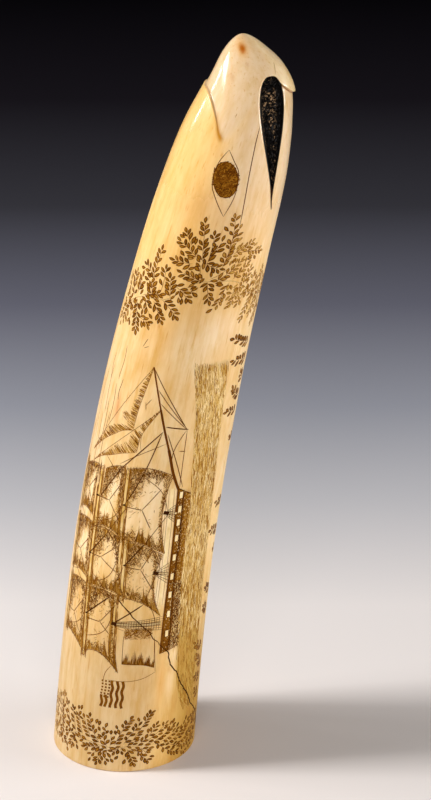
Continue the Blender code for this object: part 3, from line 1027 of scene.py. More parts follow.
def foliage(name, stem, sprigs, leaf, seed, filling=0, pale_front=False):
    """One engraved piece of a main stem, its sprigs, and the leaves that fill in between them.  The
    leaves of the sides are smaller by the leaf's share."""
    chance = np.random.default_rng(seed)
    line, _ = along(stem, 90)
    grown = [sprig(foot, tip, leaf, chance) for foot, tip in sprigs]
    stems = [lines(line, 0.26, 0.62, 0), lines(line, 0.12, 0.1, 1)]
    stems += [lines(made[0], 0.17, 0.66, 0) for made in grown]
    parts = [made[1:] for made in grown]
    if filling:
        parts.append(in_between(sprigs, leaf, filling, chance))
    feet, turned, length = (np.concatenate(part) for part in zip(*parts))
    length = length * (1 - leaf[4] * (ease(-feet[:, 0], 24, 34) + ease(feet[:, 0], 3, 13)))
    picked = clear_leaves(feet, turned, length, leaf[3])
    kept = leaves(feet[picked], turned[picked], length[picked], leaf, pale_front, chance)
    return engrave(name, stems + kept)


def ends(rows):
    """The rows of four numbers as pairs of foot and tip."""
    return [((row[0], row[1]), (row[2], row[3])) for row in rows]


def side_sprigs(stem, step, length, seed, slant):
    """Sprigs that leave a stem by turns to either side."""
    chance = np.random.default_rng(seed)
    total = np.linalg.norm(np.diff(np.array(stem, float), axis=0), axis=1).sum()
    line, heading = along(stem, max(3, int(total / step)))
    turned = heading + np.where(np.arange(len(line)) % 2, slant, -slant)
    turned = turned + chance.normal(0, 0.15, len(line))
    reach = length * chance.uniform(0.75, 1.1, len(line))
    tips = line + reach[:, None] * np.column_stack((np.cos(turned), np.sin(turned)))
    return list(zip(line.tolist(), tips.tolist()))


foliage("upper_garland", UPPER_STEM, ends(UPPER_SPRIGS), UPPER_LEAF, 21, 2200, pale_front=True)
foliage("lower_garland", LOWER_STEM, ends(LOWER_SPRIGS), LOWER_LEAF, 22, 6000)
foliage("front_vine", VINE_STEM, ends(VINE_SPRAYS), VINE_LEAF, 23)
far_sprigs = side_sprigs(FAR_UPPER_STEM, 3.2, 9.0, 24, 0.8)
foliage("upper_garland_far", FAR_UPPER_STEM, far_sprigs, UPPER_LEAF, 24, 900, pale_front=True)
far_sprigs = side_sprigs(FAR_LOWER_STEM, 3.2, 8.0, 25, 0.8)
foliage("lower_garland_far", FAR_LOWER_STEM, far_sprigs, LOWER_LEAF, 25, 900)
ivory = spotted(ivory, GARLAND_STAIN)


# Sea
# A band of close, wavy strokes along the tusk beside the ship, cut in rows of waves and rubbed with
# yellow-brown and grey.
SEA_TOP = 178.0
SEA_FOOT = 24.0
SEA_EDGES = (  # height, inner edge and outer edge
    (20, 25.0, 32.0),
    (31, 20.5, 31.0),
    (54, 17.3, 29.5),
    (91, 15.2, 27.5),
    (120, 13.6, 25.3),
    (142, 11.2, 22.6),
    (160, 8.8, 20.9),
    (179, 4.6, 18.9),
)
SEA_ROW = 9.5  # height of a row of waves
SEA_STROKES = 6200
SEA_THIN_BELOW = 60
SEA_GREY = srgb(190, 160, 100)
SEA_GOLD = srgb(186, 142, 40)


def sea_edge(height, column):
    """Inner or outer edge of the sea at a height: a smooth curve through its table."""
    table = np.array(SEA_EDGES)
    return smooth(table[:, 0], table[:, column], height)


chance = np.random.default_rng(31)
sea_z = SEA_FOOT + (SEA_TOP - SEA_FOOT) * chance.random(SEA_STROKES)
sea_share = chance.random(SEA_STROKES)
sea_s = sea_edge(sea_z, 1) * (1 - sea_share) + sea_edge(sea_z, 2) * sea_share
sea_z = sea_z - 2.6 * sea_share * ease(sea_z, 150, 178)
row_place = (sea_z / SEA_ROW + 0.25 * np.sin(sea_share * 9)) % 1
sea_long = chance.uniform(1.8, 5.0, SEA_STROKES)
sea_lean = (sea_edge(sea_z + 4, 1) - sea_edge(sea_z - 4, 1)) / 8
sea_heading = math.pi / 2 - sea_lean + chance.normal(0, 0.07, SEA_STROKES)
sea_bow = chance.uniform(-0.09, 0.09, SEA_STROKES)
wave = dashes(np.column_stack((sea_s, sea_z)), sea_heading, sea_long, sea_bow, 6)
patch_of_sea = np.sin(sea_s * 0.8 + 1.7) * np.sin(sea_z * 0.23 + sea_s * 0.15) + np.sin(sea_z * 0.11)
dark = chance.random(SEA_STROKES) < 0.54 + 0.20 * np.sin(math.pi * row_place) + 0.10 * patch_of_sea
sea_tone = chance.uniform(0.24, 0.50, SEA_STROKES) + 0.34 * chance.random(SEA_STROKES) ** 4
pale = ~dark & (sea_z > SEA_THIN_BELOW)
dark = dark & ((sea_z > SEA_THIN_BELOW) | (chance.random(SEA_STROKES) < 0.45))
dark_sea = lines(wave[dark], chance.uniform(0.11, 0.21, dark.sum()), sea_tone[dark], 1, points=5)
pale_width = chance.uniform(0.10, 0.22, pale.sum())
pale_sea = lines(wave[pale], pale_width, 0.03 + 0.20 * chance.random(pale.sum()), 2, points=5)
engrave("sea", [dark_sea, pale_sea])
inner, outer = sea_edge(skin_height, 1), sea_edge(skin_height, 2)
sea_wash = (
    hump(skin_round, inner - 0.4, inner + 0.4, outer - 0.8, outer + 0.8)
    * hump(skin_height, SEA_FOOT - 2, SEA_FOOT + 6, SEA_TOP - 0.6, SEA_TOP + 0.6)
)
ivory = washed(ivory, SEA_GREY, 0.55 * sea_wash)
ivory = washed(ivory, SEA_GOLD, 0.85 * sea_wash * (1 - ease(skin_height, 46, 110)))


# Hull
# The hull of a full-rigged ship drawn along the tusk, its masts across it.  Its dark side is hatched over,
# darkest and greyest low down at the stern, with a pale row of gun ports, and two thin rails run above the
# deck.  The ship's own frame counts from the foot of the main mast, forward to the bow and up the masts.
SHIP_FOOT = (9.2, 89.5)
DECK_SLOPE = -0.037
MAST_LEAN = 0.12
HULL_EDGES = (  # height, and the deck's and the hull's lower edge on the sheet
    (52, 9.9, 16.6),
    (60, 9.9, 17.0),
    (70, 9.8, 16.3),
    (80, 9.8, 15.3),
    (90, 9.7, 14.8),
    (100, 9.4, 14.9),
    (110, 8.9, 14.4),
    (120, 8.3, 13.6),
    (128, 7.7, 12.8),
)
HULL_ENDS = (53.6, 126.8)
HULL_RAKE = (1.8, -3.4)
HULL_ROWS = 36
HULL_STROKES = 4000
HULL_GLINTS = 420
LOWER_SIDE = 0.62  # share of the way down where the side turns paler
STERN_PART = (0.52, 0.44)  # the dark part of the stern: below this share of the side, and aft of this one
WALES = (  # share of the way down the side, width and strength of the long lines along it
    (0.0, 0.34, 0.72),
    (0.06, 0.20, 0.80),
    (0.46, 0.34, 0.90),
    (0.53, 0.20, 0.76),
)
RAILS = ((1.1, 0.56), (3.0, 0.50), (3.9, 0.44))  # space above the deck, and strength
HULL_BROWN = srgb(150, 98, 34)
RAIL_PALE = srgb(248, 220, 172)
PORTS = (
    (11.9, 62.3), (11.7, 71.1), (11.3, 79.7), (11.1, 87.8), (10.9, 96.2), (10.6, 104.7), (10.3, 111.6),
    (10.0, 117.4), (9.6, 123.5),
)
PORT_SIZE = (2.7, 1.15)  # along the tusk and round it


def ship(place):
    """Place on the sheet of a place in the ship's frame, forward and up: forward runs along the tusk, the
    deck slopes by a share of it, and the masts lean by a share of the way up."""
    place = np.asarray(place, float)
    across = SHIP_FOOT[0] + DECK_SLOPE * place[..., 0] - place[..., 1]
    return np.stack((across, SHIP_FOOT[1] + place[..., 0] + MAST_LEAN * place[..., 1]), axis=-1)


def straight(start_place, end_place, count=24):
    """A straight path between two places."""
    t = np.linspace(0, 1, count)[:, None]
    return np.array(start_place, float) * (1 - t) + np.array(end_place, float) * t


def hull_edge(height, column):
    """The deck's edge or the hull's lower edge at a height: a smooth curve through its table."""
    table = np.array(HULL_EDGES)
    return smooth(table[:, 0], table[:, column], height)


def hull_place(forward, low):
    """Place on the sheet of a share of the way from stern to bow and from the deck to the lower edge."""
    z = (HULL_ENDS[0] + HULL_RAKE[0] * low) * (1 - forward) + (HULL_ENDS[1] + HULL_RAKE[1] * low) * forward
    return np.stack((hull_edge(z, 1) * (1 - low) + hull_edge(z, 2) * low, z), axis=-1)


def deck_line(forward_from, forward_to, above):
    """A long line beside the deck, some way above it."""
    t = np.linspace(forward_from, forward_to, 70)
    return hull_place(t, 0 * t) - (above, 0)


chance = np.random.default_rng(41)
row_low = np.linspace(0, 1, HULL_ROWS)[:, None]
row_start = 0.44 * ease(row_low, 0.50, 0.60)
row_run = row_start + (1 - row_start) * np.linspace(0, 1, 80)[None]
upper = row_low[:, 0] < LOWER_SIDE
row_width, row_tone = np.where(upper, 0.27, 0.20), np.where(upper, 0.60, 0.40)
hull = [lines(hull_place(row_run, row_low), row_width, row_tone, 0, "even", spacing=1.1)]

forward, low = chance.random(HULL_STROKES), chance.random(HULL_STROKES) ** 0.9 * 1.10
stern = (low > STERN_PART[0]) & (forward < STERN_PART[1])
steep = np.where(chance.random(HULL_STROKES) < 0.5, 1.15, 2.1)
way = np.where((low > 0.55) & (forward > 0.55), 1.95, steep) + chance.normal(0, 0.12, HULL_STROKES)
tone_of = np.where(stern, 0.80, np.where(low < LOWER_SIDE, 0.66, 0.58))
tone_of = tone_of + chance.uniform(-0.20, 0.20, HULL_STROKES)
strokes = dashes(hull_place(forward, low), way, chance.uniform(0.6, 1.5, HULL_STROKES), 0.05, 3)
hull.append(lines(strokes, np.where(stern, 0.20, 0.17), tone_of, 1, spacing=0.8, points=3))

forward, low = chance.random(HULL_GLINTS), 0.15 + 0.9 * chance.random(HULL_GLINTS)
strokes = dashes(hull_place(forward, low), 1.6, 0.6, 0, 3)
hull.append(lines(strokes, 0.16, 0.2 * chance.random(HULL_GLINTS), 2, spacing=0.8, points=3))

t = np.linspace(0.005, 0.995, 80)
hull += [lines(hull_place(t, 0 * t + low), width, dark, 3, "even") for low, width, dark in WALES]
low = np.linspace(0, 1, 12)
hull.append(lines(hull_place(0 * low + 1, low), 0.34, 0.86, 3, "even"))
hull.append(lines(hull_place(0 * low, low), 0.26, 0.72, 3, "even"))
hull += [lines(deck_line(0.30, 1.0, above), 0.13, dark, 1) for above, dark in RAILS]
hull.append(lines(deck_line(0.28, 1.0, 2.0), 1.0, 0.04, 0, "even"))
for port_s, port_z in PORTS:
    low_end = (port_s + 0.05, port_z - PORT_SIZE[0] / 2)
    high_end = (port_s - 0.05, port_z + PORT_SIZE[0] / 2)
    port = straight(low_end, high_end, 4)
    hull.append(lines(port, PORT_SIZE[1] + 0.45, 0.80, 4, "even"))
    hull.append(lines(port, PORT_SIZE[1], 0.02, 5, "even"))
engrave("hull", hull)

deck, keel = hull_edge(skin_height, 1), hull_edge(skin_height, 2)
in_hull = hump(skin_round, deck - 0.3, deck + 0.3, keel - 0.4, keel + 0.8)
in_hull = in_hull * ease(skin_height, HULL_ENDS[0] - 0.5, HULL_ENDS[0] + 1.5)
in_hull = in_hull * (1 - ease(skin_height, HULL_ENDS[1] - 3.4, HULL_ENDS[1] - 0.4))
plain_stern = ease((skin_round - deck) / (keel - deck), 0.48, 0.60) * (1 - ease(skin_height, 80, 88))
ivory = washed(ivory, HULL_BROWN, 0.7 * in_hull * (1 - 0.65 * plain_stern))
beside_deck = hump(skin_round, deck - 5.2, deck - 4.2, deck - 0.6, deck)
ivory = washed(ivory, RAIL_PALE, 0.7 * beside_deck * hump(skin_height, 72, 78, 124, 131))


# Sails
# The square sails are left pale in the middle and hatched crosswise in from their sides, and their foot is
# arched.  The jibs are three-cornered and shaded along two edges, and so is the sail at the stern.
SAILS = (  # foot aft and fore, head aft and fore, how far the aft and fore edges and the foot are bowed
    ((8.8, 1.9), (42.4, 2.3), (12.9, 17.7), (43.2, 17.3), 1.2, 1.8, 2.4),
    ((-18.9, 1.4), (8.2, 2.4), (-12.3, 15.1), (12.4, 15.5), 2.1, 0.9, 3.0),
    ((13.1, 18.7), (42.9, 20.1), (14.2, 29.6), (38.6, 28.7), 2.0, 0.9, 1.2),
    ((-11.9, 15.6), (12.3, 18.7), (-12.1, 30.4), (13.8, 29.4), 1.6, 1.7, 1.4),
    ((-45.9, 15.9), (-12.1, 18.6), (-41.7, 31.1), (-12.7, 30.2), 4.8, 1.3, 1.4),
    ((16.6, 32.6), (38.4, 32.3), (15.4, 42.6), (34.0, 41.9), 1.6, 0.8, 0.8),
    ((-9.9, 32.1), (14.1, 32.2), (-10.7, 43.6), (11.4, 42.8), 1.6, 1.0, 0.8),
    ((-41.5, 31.5), (-12.0, 32.1), (-37.7, 43.6), (-14.6, 42.7), 2.0, 1.0, 0.8),
)
HATCHES_PER_MM = 4.8
TUFTS = 7
SPANKER = ((-3.8, 49.7), (8.3, 47.6), (7.3, 61.5), (-4.2, 62.2))  # the stern sail's corners
SPANKER_FOOT = (SPANKER[0], (0.0, 49.6), (4.5, 49.2), SPANKER[1])
JIBS = (  # leech from tack to clew, foot from clew to head, depth of their shading, and its direction
    (((-9.2, 177), (-10.4, 168), (-11.6, 160), (-12.3, 150.2)),
     ((-12.3, 150.2), (-16, 149.3), (-20, 146.5), (-24, 143.3), (-31, 135.5)),
     (0.6, 2.1, 2.9, 3.4), (3.4, 4.6, 3.2, 2.0, 0.5), 2.79),
    (((-3.6, 159.5), (-7, 153), (-9, 148), (-9.3, 144), (-9.4, 141.5)),
     ((-9.4, 141.5), (-15, 139.9), (-20, 137.6), (-24, 135.8), (-29.5, 131.5)),
     (0.5, 1.6, 2.4, 4.6, 5.0), (5.0, 4.6, 2.2, 1.2, 0.3), 2.38),
)
JIB_FOLD = ((-15.8, 155.6), (0.9, 0.8), 26)  # middle and spread of a patch of strokes, and their number
JIB_SEAM = ((-8.5, 150), (-8.6, 146), (-7.8, 142.2))
SPANKER_LINES = (  # thin lines round the stern sail: two ends, width and strength
    ((-8.3, 66.0), (-2.4, 64.2), 0.13, 0.62),
    ((-8.3, 66.0), (-5.6, 47.5), 0.15, 0.66),
    ((7.5, 60.0), (9.0, 45.0), 0.14, 0.66),
)
SPANKER_STROKES = 330
SPANKER_HATCHES = 420
TUFT_HAIRS = 34
CANVAS_SHADE = srgb(206, 162, 100)
CANVAS = srgb(250, 222, 174)
CANVAS_EDGE = srgb(196, 152, 80)


def sail_place(sail, across, down):
    """Place in the ship's frame on a sail: across it from aft to fore, and down it from head to foot.
    Its two edges are bowed forward, and its foot is arched."""
    foot_aft, foot_fore, head_aft, head_fore, bow_aft, bow_fore, arch = sail
    across, down = np.broadcast_arrays(across, down)
    ends = [np.array(head) * (1 - down)[..., None] + np.array(foot) * down[..., None]
            for head, foot in ((head_aft, foot_aft), (head_fore, foot_fore))]
    place = ends[0] * (1 - across)[..., None] + ends[1] * across[..., None]
    belly = (bow_aft * (1 - across) + bow_fore * across) * 4 * down * (1 - down)
    arched = arch * 4 * across * (1 - across) * down**2
    return place + np.stack((belly, arched), axis=-1)


def sail_shade(sail, across, down):
    """0 where a sail is shaded most and 1 where it is plain: it is shaded in from its sides, along its
    foot, and in the fore corner of its head, by ragged depths."""
    foot_aft, foot_fore, head_aft, head_fore = sail[:4]
    wide = (foot_fore[0] - foot_aft[0]) * down + (head_fore[0] - head_aft[0]) * (1 - down)
    high = head_aft[1] - foot_aft[1]
    ragged = 1 + 0.30 * np.sin(down * high * 1.7 + foot_aft[0])
    ragged = ragged + 0.22 * np.sin(down * high * 4.3 + foot_aft[1])
    from_fore, from_aft = (1 - across) * wide, across * wide
    depths = (from_fore / (5.4 * ragged), from_aft / (5.0 * ragged), (1 - down) * high / 1.7,
              down * high / 11 + from_fore / 22)
    return ease(np.minimum.reduce(depths), 0.45, 1.05)


def hatching(sail, chance):
    """Crossed strokes over a sail's shaded parts, and tufts of longer hairs that rise from its sides
    like grass, closing to a point."""
    wide = sail[1][0] - sail[0][0]
    high = sail[2][1] - sail[0][1]
    count = int(HATCHES_PER_MM * wide * high)
    across, down = chance.random(count), chance.random(count)
    shade = sail_shade(sail, across, down)
    keep = chance.random(count) < 1.02 - shade
    across, down, shade = across[keep], down[keep], shade[keep]
    count = len(across)
    way = np.where(chance.random(count) < 0.5, 0.72, -0.86) + chance.normal(0, 0.12, count)
    way = np.where(chance.random(count) < 0.3, 1.57 + chance.normal(0, 0.2, count), way)
    length, bow = chance.uniform(0.7, 1.9, count), chance.uniform(-0.06, 0.06, count)
    crossed = dashes(ship(sail_place(sail, across, down)), way, length, bow, 3)
    tone_of = 0.70 - 0.22 * shade + 0.08 * (across > 0.6) + chance.uniform(-0.30, 0.24, count)
    middle = np.repeat((np.arange(TUFTS) + chance.uniform(0.1, 0.9, TUFTS)) / TUFTS, TUFT_HAIRS)
    tall = np.repeat(chance.uniform(5.0, 10.5, TUFTS), TUFT_HAIRS)
    fore = np.repeat(chance.random(TUFTS) < 0.34, TUFT_HAIRS)
    tall = np.where(fore, 0.6 * tall, tall)
    off = chance.uniform(-1, 1, len(middle))
    reach = tall * (1 - 0.70 * np.abs(off)) * chance.uniform(0.6, 1.0, len(middle))
    t = np.linspace(0, 1, 4)[None]
    inward = (0.4 + reach[:, None] * t) / wide
    inward = np.where(fore[:, None], 1 - inward, inward)
    beside = middle[:, None] + (off * 1.5)[:, None] * (1 - 0.6 * t) / high
    tuft = ship(sail_place(sail, inward, np.clip(beside, 0, 1)))
    hatches = lines(crossed, chance.uniform(0.12, 0.21, count), np.clip(tone_of, 0.2, 0.95), 1, points=3)
    width, dark = chance.uniform(0.16, 0.30, len(tuft)), chance.uniform(0.28, 0.86, len(tuft))
    return [hatches, lines(tuft, width, dark, 2, "hair", points=4)]


def shaded_edge(edge, depths, direction, per_mm, chance):
    """Hairs side by side along an edge of a jib, as long as its shading is deep there."""
    line, _ = along(edge, 160)
    long = np.linalg.norm(np.diff(line, axis=0), axis=1).sum()
    count = int(long * per_mm)
    share = chance.random(count)
    k = (share * 159).astype(int)
    depth = np.interp(share, np.linspace(0, 1, len(depths)), depths) * chance.uniform(0.45, 1.12, count)
    turned = direction + chance.normal(0, 0.07, count)
    t = np.linspace(0, 1, 4)[None, :, None]
    away = np.column_stack((np.cos(turned), np.sin(turned))) * depth[:, None]
    return line[k][:, None] + away[:, None] * t


sails = []
t = np.linspace(0, 1, 30)
for sail in SAILS:
    edges = ((0 * t, t, 0.20), (0 * t + 1, t, 0.20), (t, 0 * t + 1, 0.16), (t, 0 * t, 0.14))
    for across, down, width in edges:
        sails.append(lines(ship(sail_place(sail, across, down)), width, 0.74, 3))
    sails += hatching(sail, chance)
for leech, foot, leech_depths, foot_depths, direction in JIBS:
    sails += [lines(along(edge, 50)[0], 0.17, 0.62, 3) for edge in (leech, foot)]
    sails.append(lines(straight(leech[0], foot[-1]), 0.17, 0.72, 3))
    for edge, depths in ((leech, leech_depths), (foot, foot_depths)):
        strokes = shaded_edge(edge, depths, direction, 6.6, chance)
        width = chance.uniform(0.13, 0.24, len(strokes))
        sails.append(lines(strokes, width, chance.uniform(0.26, 0.82, len(strokes)), 1))
fold_middle, fold_spread, fold_count = JIB_FOLD
fold = dashes(chance.normal(fold_middle, fold_spread, (fold_count, 2)), 2.6, 1.7, 0.1, 4)
sails.append(lines(fold, 0.20, chance.uniform(0.4, 0.7, fold_count), 2))
sails.append(lines(along(JIB_SEAM, 30)[0], 0.12, 0.6, 2))
corners = np.array(SPANKER)
spanker_foot, _ = along(SPANKER_FOOT, 60)
for edge in (spanker_foot, straight(corners[1], corners[2]), straight(corners[3], corners[0])):
    sails.append(lines(edge, 0.19, 0.74, 3))
for start_place, end_place, width, dark in SPANKER_LINES:
    sails.append(lines(straight(start_place, end_place), width, dark, 3))
share = chance.random(SPANKER_STROKES)
peaks = 2.2 + 3.4 * np.abs(np.sin(share * 14.0)) ** 3 + 2.6 * np.exp(-(((share - 0.42) / 0.12) ** 2))
rise = peaks * chance.uniform(0.3, 1.0, SPANKER_STROKES)
root = spanker_foot[(share * 59).astype(int)]
t = np.linspace(0, 1, 4)[None, :, None]
up_tusk = np.column_stack((chance.normal(0, 0.25, SPANKER_STROKES), rise))[:, None]
dark = chance.uniform(0.40, 0.92, SPANKER_STROKES)
sails.append(lines(root[:, None] + up_tusk * t, 0.22, dark, 2, "hair"))
head_s = chance.uniform(-4.0, 6.0, SPANKER_HATCHES)
head_z = 61.2 + 4.4 * chance.random(SPANKER_HATCHES) ** 0.8
way = np.where(chance.random(SPANKER_HATCHES) < 0.5, 0.7, -0.8)
hatches = dashes(np.column_stack((head_s, head_z)), way, chance.uniform(0.7, 1.6, SPANKER_HATCHES), 0, 3)
sails.append(lines(hatches, 0.16, chance.uniform(0.4, 0.75, SPANKER_HATCHES), 1))
engrave("sails", sails)

# The place of each point of the skin in the ship's frame, and on each sail, is found by a few rounds that
# put the last value of the one coordinate into the formula of the other.
skin_up = SHIP_FOOT[0] - skin_round
for _ in range(3):
    skin_forward = skin_height - SHIP_FOOT[1] - MAST_LEAN * skin_up
    skin_up = SHIP_FOOT[0] + DECK_SLOPE * skin_forward - skin_round
for sail in SAILS:
    foot_aft, foot_fore, head_aft, head_fore, bow_aft, bow_fore, arch = sail
    down, across = np.full(len(skin_up), 0.5), np.full(len(skin_up), 0.5)
    for _ in range(5):
        belly = 4 * down * (1 - down)
        aft_edge = head_aft[0] * (1 - down) + foot_aft[0] * down + bow_aft * belly
        fore_edge = head_fore[0] * (1 - down) + foot_fore[0] * down + bow_fore * belly
        across = np.clip((skin_forward - aft_edge) / (fore_edge - aft_edge), -0.1, 1.1)
        top_edge = head_aft[1] * (1 - across) + head_fore[1] * across
        low_edge = foot_aft[1] * (1 - across) + foot_fore[1] * across
        low_edge = low_edge + arch * 4 * across * (1 - across) * down
        down = np.clip((top_edge - skin_up) / (top_edge - low_edge), -0.1, 1.1)
    within = hump(across, -0.01, 0.02, 0.98, 1.01) * hump(down, -0.03, 0.03, 0.97, 1.03)
    plain = sail_shade(sail, np.clip(across, 0, 1), np.clip(down, 0, 1))
    ivory = washed(ivory, CANVAS_SHADE, 0.26 * (1 - ease(skin_height, 80, 122)) * within * plain)
    ivory = washed(ivory, CANVAS, 0.50 * ease(skin_height, 66, 108) * within * plain)
    ivory = washed(ivory, CANVAS_EDGE, 0.60 * within * (1 - plain))


# Spars
# A pale yard with grey-brown shading on both sides stands above each square sail.  The lower masts show
# where no sail hides them, and the bowsprit thins towards its outer end.
YARDS = (  # height above the deck, aft end and fore end
    (18.9, 11.5, 42.4),
    (16.5, -13.5, 13.6),
    (18.6, -40.0, -12.4),
    (30.8, 13.0, 38.4),
    (30.8, -13.0, 14.6),
    (30.8, -43.0, -13.0),
    (43.4, 14.5, 35.5),
    (43.9, -11.6, 12.4),
    (43.8, -38.8, -13.8),
)
TOPS = (  # the dark platforms on the lower masts, and the two ends of the shrouds on the deck
    ((5.0, 116.5), (8.3, 119.7), (8.7, 111.9)),
    ((4.6, 90.3), (9.4, 94.5), (9.8, 85.0)),
    ((-8.4, 67.4), (9.7, 70.6), (9.9, 64.6)),
)
TOPS_FOOT = 9.0
BOWSPRIT = ((-9.3, 177), (-6.4, 168.5), (-3.6, 160), (-0.5, 150.5), (2.4, 142), (5.2, 133), (8.2, 126))
BOWSPRIT_PARTS = (  # the first of its 80 points, width, strength and layer
    (0, 0.56, 0.72, 7),
    (26, 0.76, 0.74, 8),
    (52, 1.0, 0.76, 9),
)

spars = []
for level, aft_end, fore_end in YARDS:
    spars.append(lines(ship(straight((aft_end, level), (fore_end, level))), 0.8, 0.16, 0))
    count = int(6.5 * (fore_end - aft_end))
    from_end = chance.uniform(aft_end, fore_end, count)
    beside = level + np.where(chance.random(count) < 0.5, 1, -1) * chance.uniform(0.55, 1.45, count)
    t = np.linspace(-0.5, 0.5, 4)[None]
    long = chance.uniform(1.5, 5.0, count)[:, None]
    stroke = np.stack(np.broadcast_arrays(from_end[:, None] + long * t, beside[:, None]), axis=-1)
    spars.append(lines(ship(stroke), 0.15, chance.uniform(0.36, 0.74, count), 2, points=4))
    for side in (-0.55, 0.55):
        edge = straight((aft_end, level + side), (fore_end, level + side))
        spars.append(lines(ship(edge), 0.14, 0.62, 3))
    count = int(9 * (fore_end - aft_end) / 4)
    at_end = np.where(chance.random(count) < 0.5, aft_end - 0.5, fore_end - 4.5)
    at_end = at_end + 5.0 * chance.random(count)
    over = np.column_stack((at_end, level + chance.uniform(-1.2, 1.2, count)))
    way = np.where(chance.random(count) < 0.5, 0.72, -0.86)
    strokes = dashes(ship(over), way, chance.uniform(0.8, 1.8, count), 0, 3)
    spars.append(lines(strokes, 0.17, chance.uniform(0.42, 0.8, count), 7, points=3))
for top, upper_end, lower_end in TOPS:
    foot = (TOPS_FOOT, (upper_end[1] + lower_end[1]) / 2)
    spars.append(lines(straight(top, foot), 1.2, 0.84, 3, "even"))
    spars.append(lines(straight(top, foot), 0.65, 0.08, 4, "even"))
bowsprit, _ = along(BOWSPRIT, 80)
for first, width, dark, layer in BOWSPRIT_PARTS:
    spars.append(lines(bowsprit[first:], width, dark, layer, "even"))
engrave("spars", spars)


# Rigging
# Thin inked lines: shrouds with their rungs below the dark tops, stays forward to the next mast and the
# bowsprit, and the forked lines that gather each sail.
STAYS = (  # width, and the places on the sheet that a stay runs through
    (0.15, (-9.3, 177), (7.0, 151.7)),
    (0.13, (-5.8, 168), (7.0, 151.9)),
    (0.13, (-4.0, 162.5), (6.6, 152.0)),
    (0.22, (-1.3, 151), (-14.0, 134)),
    (0.22, (-14.0, 134), (-21.5, 119.5)),
    (0.20, (-1.5, 150.5), (-7.0, 128), (-10.6, 119)),
    (0.11, (0.5, 146), (-3.0, 144), (-10.0, 139.5), (-15.0, 135.5)),
    (0.15, (0.5, 150), (7.0, 134), (9.5, 127)),
    (0.13, (7.0, 151.4), (3.6, 141.0), (4.6, 134)),
    (0.12, (7.2, 151.4), (8.4, 127)),
    (0.16, (5.7, 142.7), (8.0, 142.3)),
    (0.24, (-0.6, 153.1), (7.6, 151.6)),
    (0.27, (-7.0, 93.5), (-1.0, 103.0)),
    (0.24, (-22.5, 94.7), (-16.0, 105.0)),
    (0.25, (-8.7, 67.5), (1.5, 76.5)),
    (0.27, (-20.5, 68.8), (-11.5, 78.5)),
    (0.13, (-1.0, 103.0), (6.0, 116.0)),
    (0.13, (-16.0, 105.0), (-9.5, 118.0)),
    (0.12, (1.5, 76.5), (5.0, 89.5)),
    (0.12, (-11.5, 78.5), (-7.5, 92.5)),
    (0.12, (-9.0, 80.5), (-5.0, 75.0), (6.5, 63.0)),
)
GATHERS = (  # thin lines that gather a sail: stem, fork and the ends of its two branches
    ((-10.5, 118.5), (-3.8, 117.8), (2.0, 127.0), (0.2, 110.0)),
    ((-24.0, 119.3), (-17.0, 119.5), (-13.3, 127.0), (-11.0, 111.0)),
    ((-22.5, 94.7), (-17.0, 94.8), (-10.0, 90.0), (-10.3, 101.5)),
    ((-20.5, 67.0), (-14.0, 67.0), (-8.8, 75.0), (-9.8, 62.5)),
    ((-7.0, 93.0), (-1.0, 92.0), (5.0, 82.0), (2.5, 100.5)),
    ((-36.0, 120.0), (-29.5, 120.0), (-25.5, 126.0), (-25.0, 114.0)),
    ((-35.5, 93.5), (-29.0, 93.5), (-24.5, 100.0), (-24.6, 87.0)),
    ((-34.0, 66.0), (-28.0, 66.0), (-23.5, 73.0), (-23.5, 59.0)),
)
KNOTS = ((-10.6, 119.0), (-7.0, 93.5), (-22.5, 94.7), (-20.5, 68.8), (-8.7, 67.5), (-23.0, 119.4))
MASTS = ((-22.0, 5), (2.0, 5), (28.0, 3))  # place forward, and how many of the running lines leave it
RUNNING_LINES = (  # height above the deck and reach forward
    (3.0, 13.0),
    (19.6, -12.0),
    (19.0, 16.0),
    (31.4, -13.0),
    (31.0, 14.0),
)

rigging = []
for top, upper_end, lower_end in TOPS:
    top, upper_end, lower_end = np.array(top), np.array(upper_end), np.array(lower_end)
    high_side, low_side = top + (0.2, 0.9), top - (0.0, 0.9)
    for share in np.linspace(0, 1, 7):
        foot = upper_end * (1 - share) + lower_end * share
        rigging.append(lines(straight(high_side * (1 - share) + low_side * share, foot), 0.17, 0.90, 6))
    for share in np.linspace(0.15, 0.92, max(4, int((upper_end[0] - top[0]) / 1.1))):
        rung_high = high_side * (1 - share) + upper_end * share
        rung_low = low_side * (1 - share) + lower_end * share
        rigging.append(lines(straight(rung_high, rung_low), 0.14, 0.86, 6))
    rigging.append(lines(straight(top - (0.9, -0.2), top + (1.1, -0.2), 5), 1.5, 0.95, 8, "even"))
for width, *course in STAYS:
    path = along(course, 50)[0] if len(course) > 2 else straight(*course)
    rigging.append(lines(path, 1.9 * width, 0.62 + 1.0 * width, 9))
for stem_end, fork, first_end, second_end in GATHERS:
    rigging.append(lines(straight(stem_end, fork), 0.32, 0.76, 8))
    for branch in (first_end, second_end):
        rigging.append(lines(straight(fork, branch), 0.28, 0.74, 8))
for mast, count in MASTS:
    for level, reach in RUNNING_LINES[:count]:
        side = ship(((mast, level), (mast + reach * 0.55, level + 2.5), (mast + reach, level + 10.5)))
        rigging.append(lines(along(side, 40)[0], 0.24, 0.68, 8))
rigging.append(lines(dashes(np.array(KNOTS), 0.2, 1.5, 0, 3), 0.85, 0.96, 10, "leaf", points=5))
engrave("rigging", rigging)


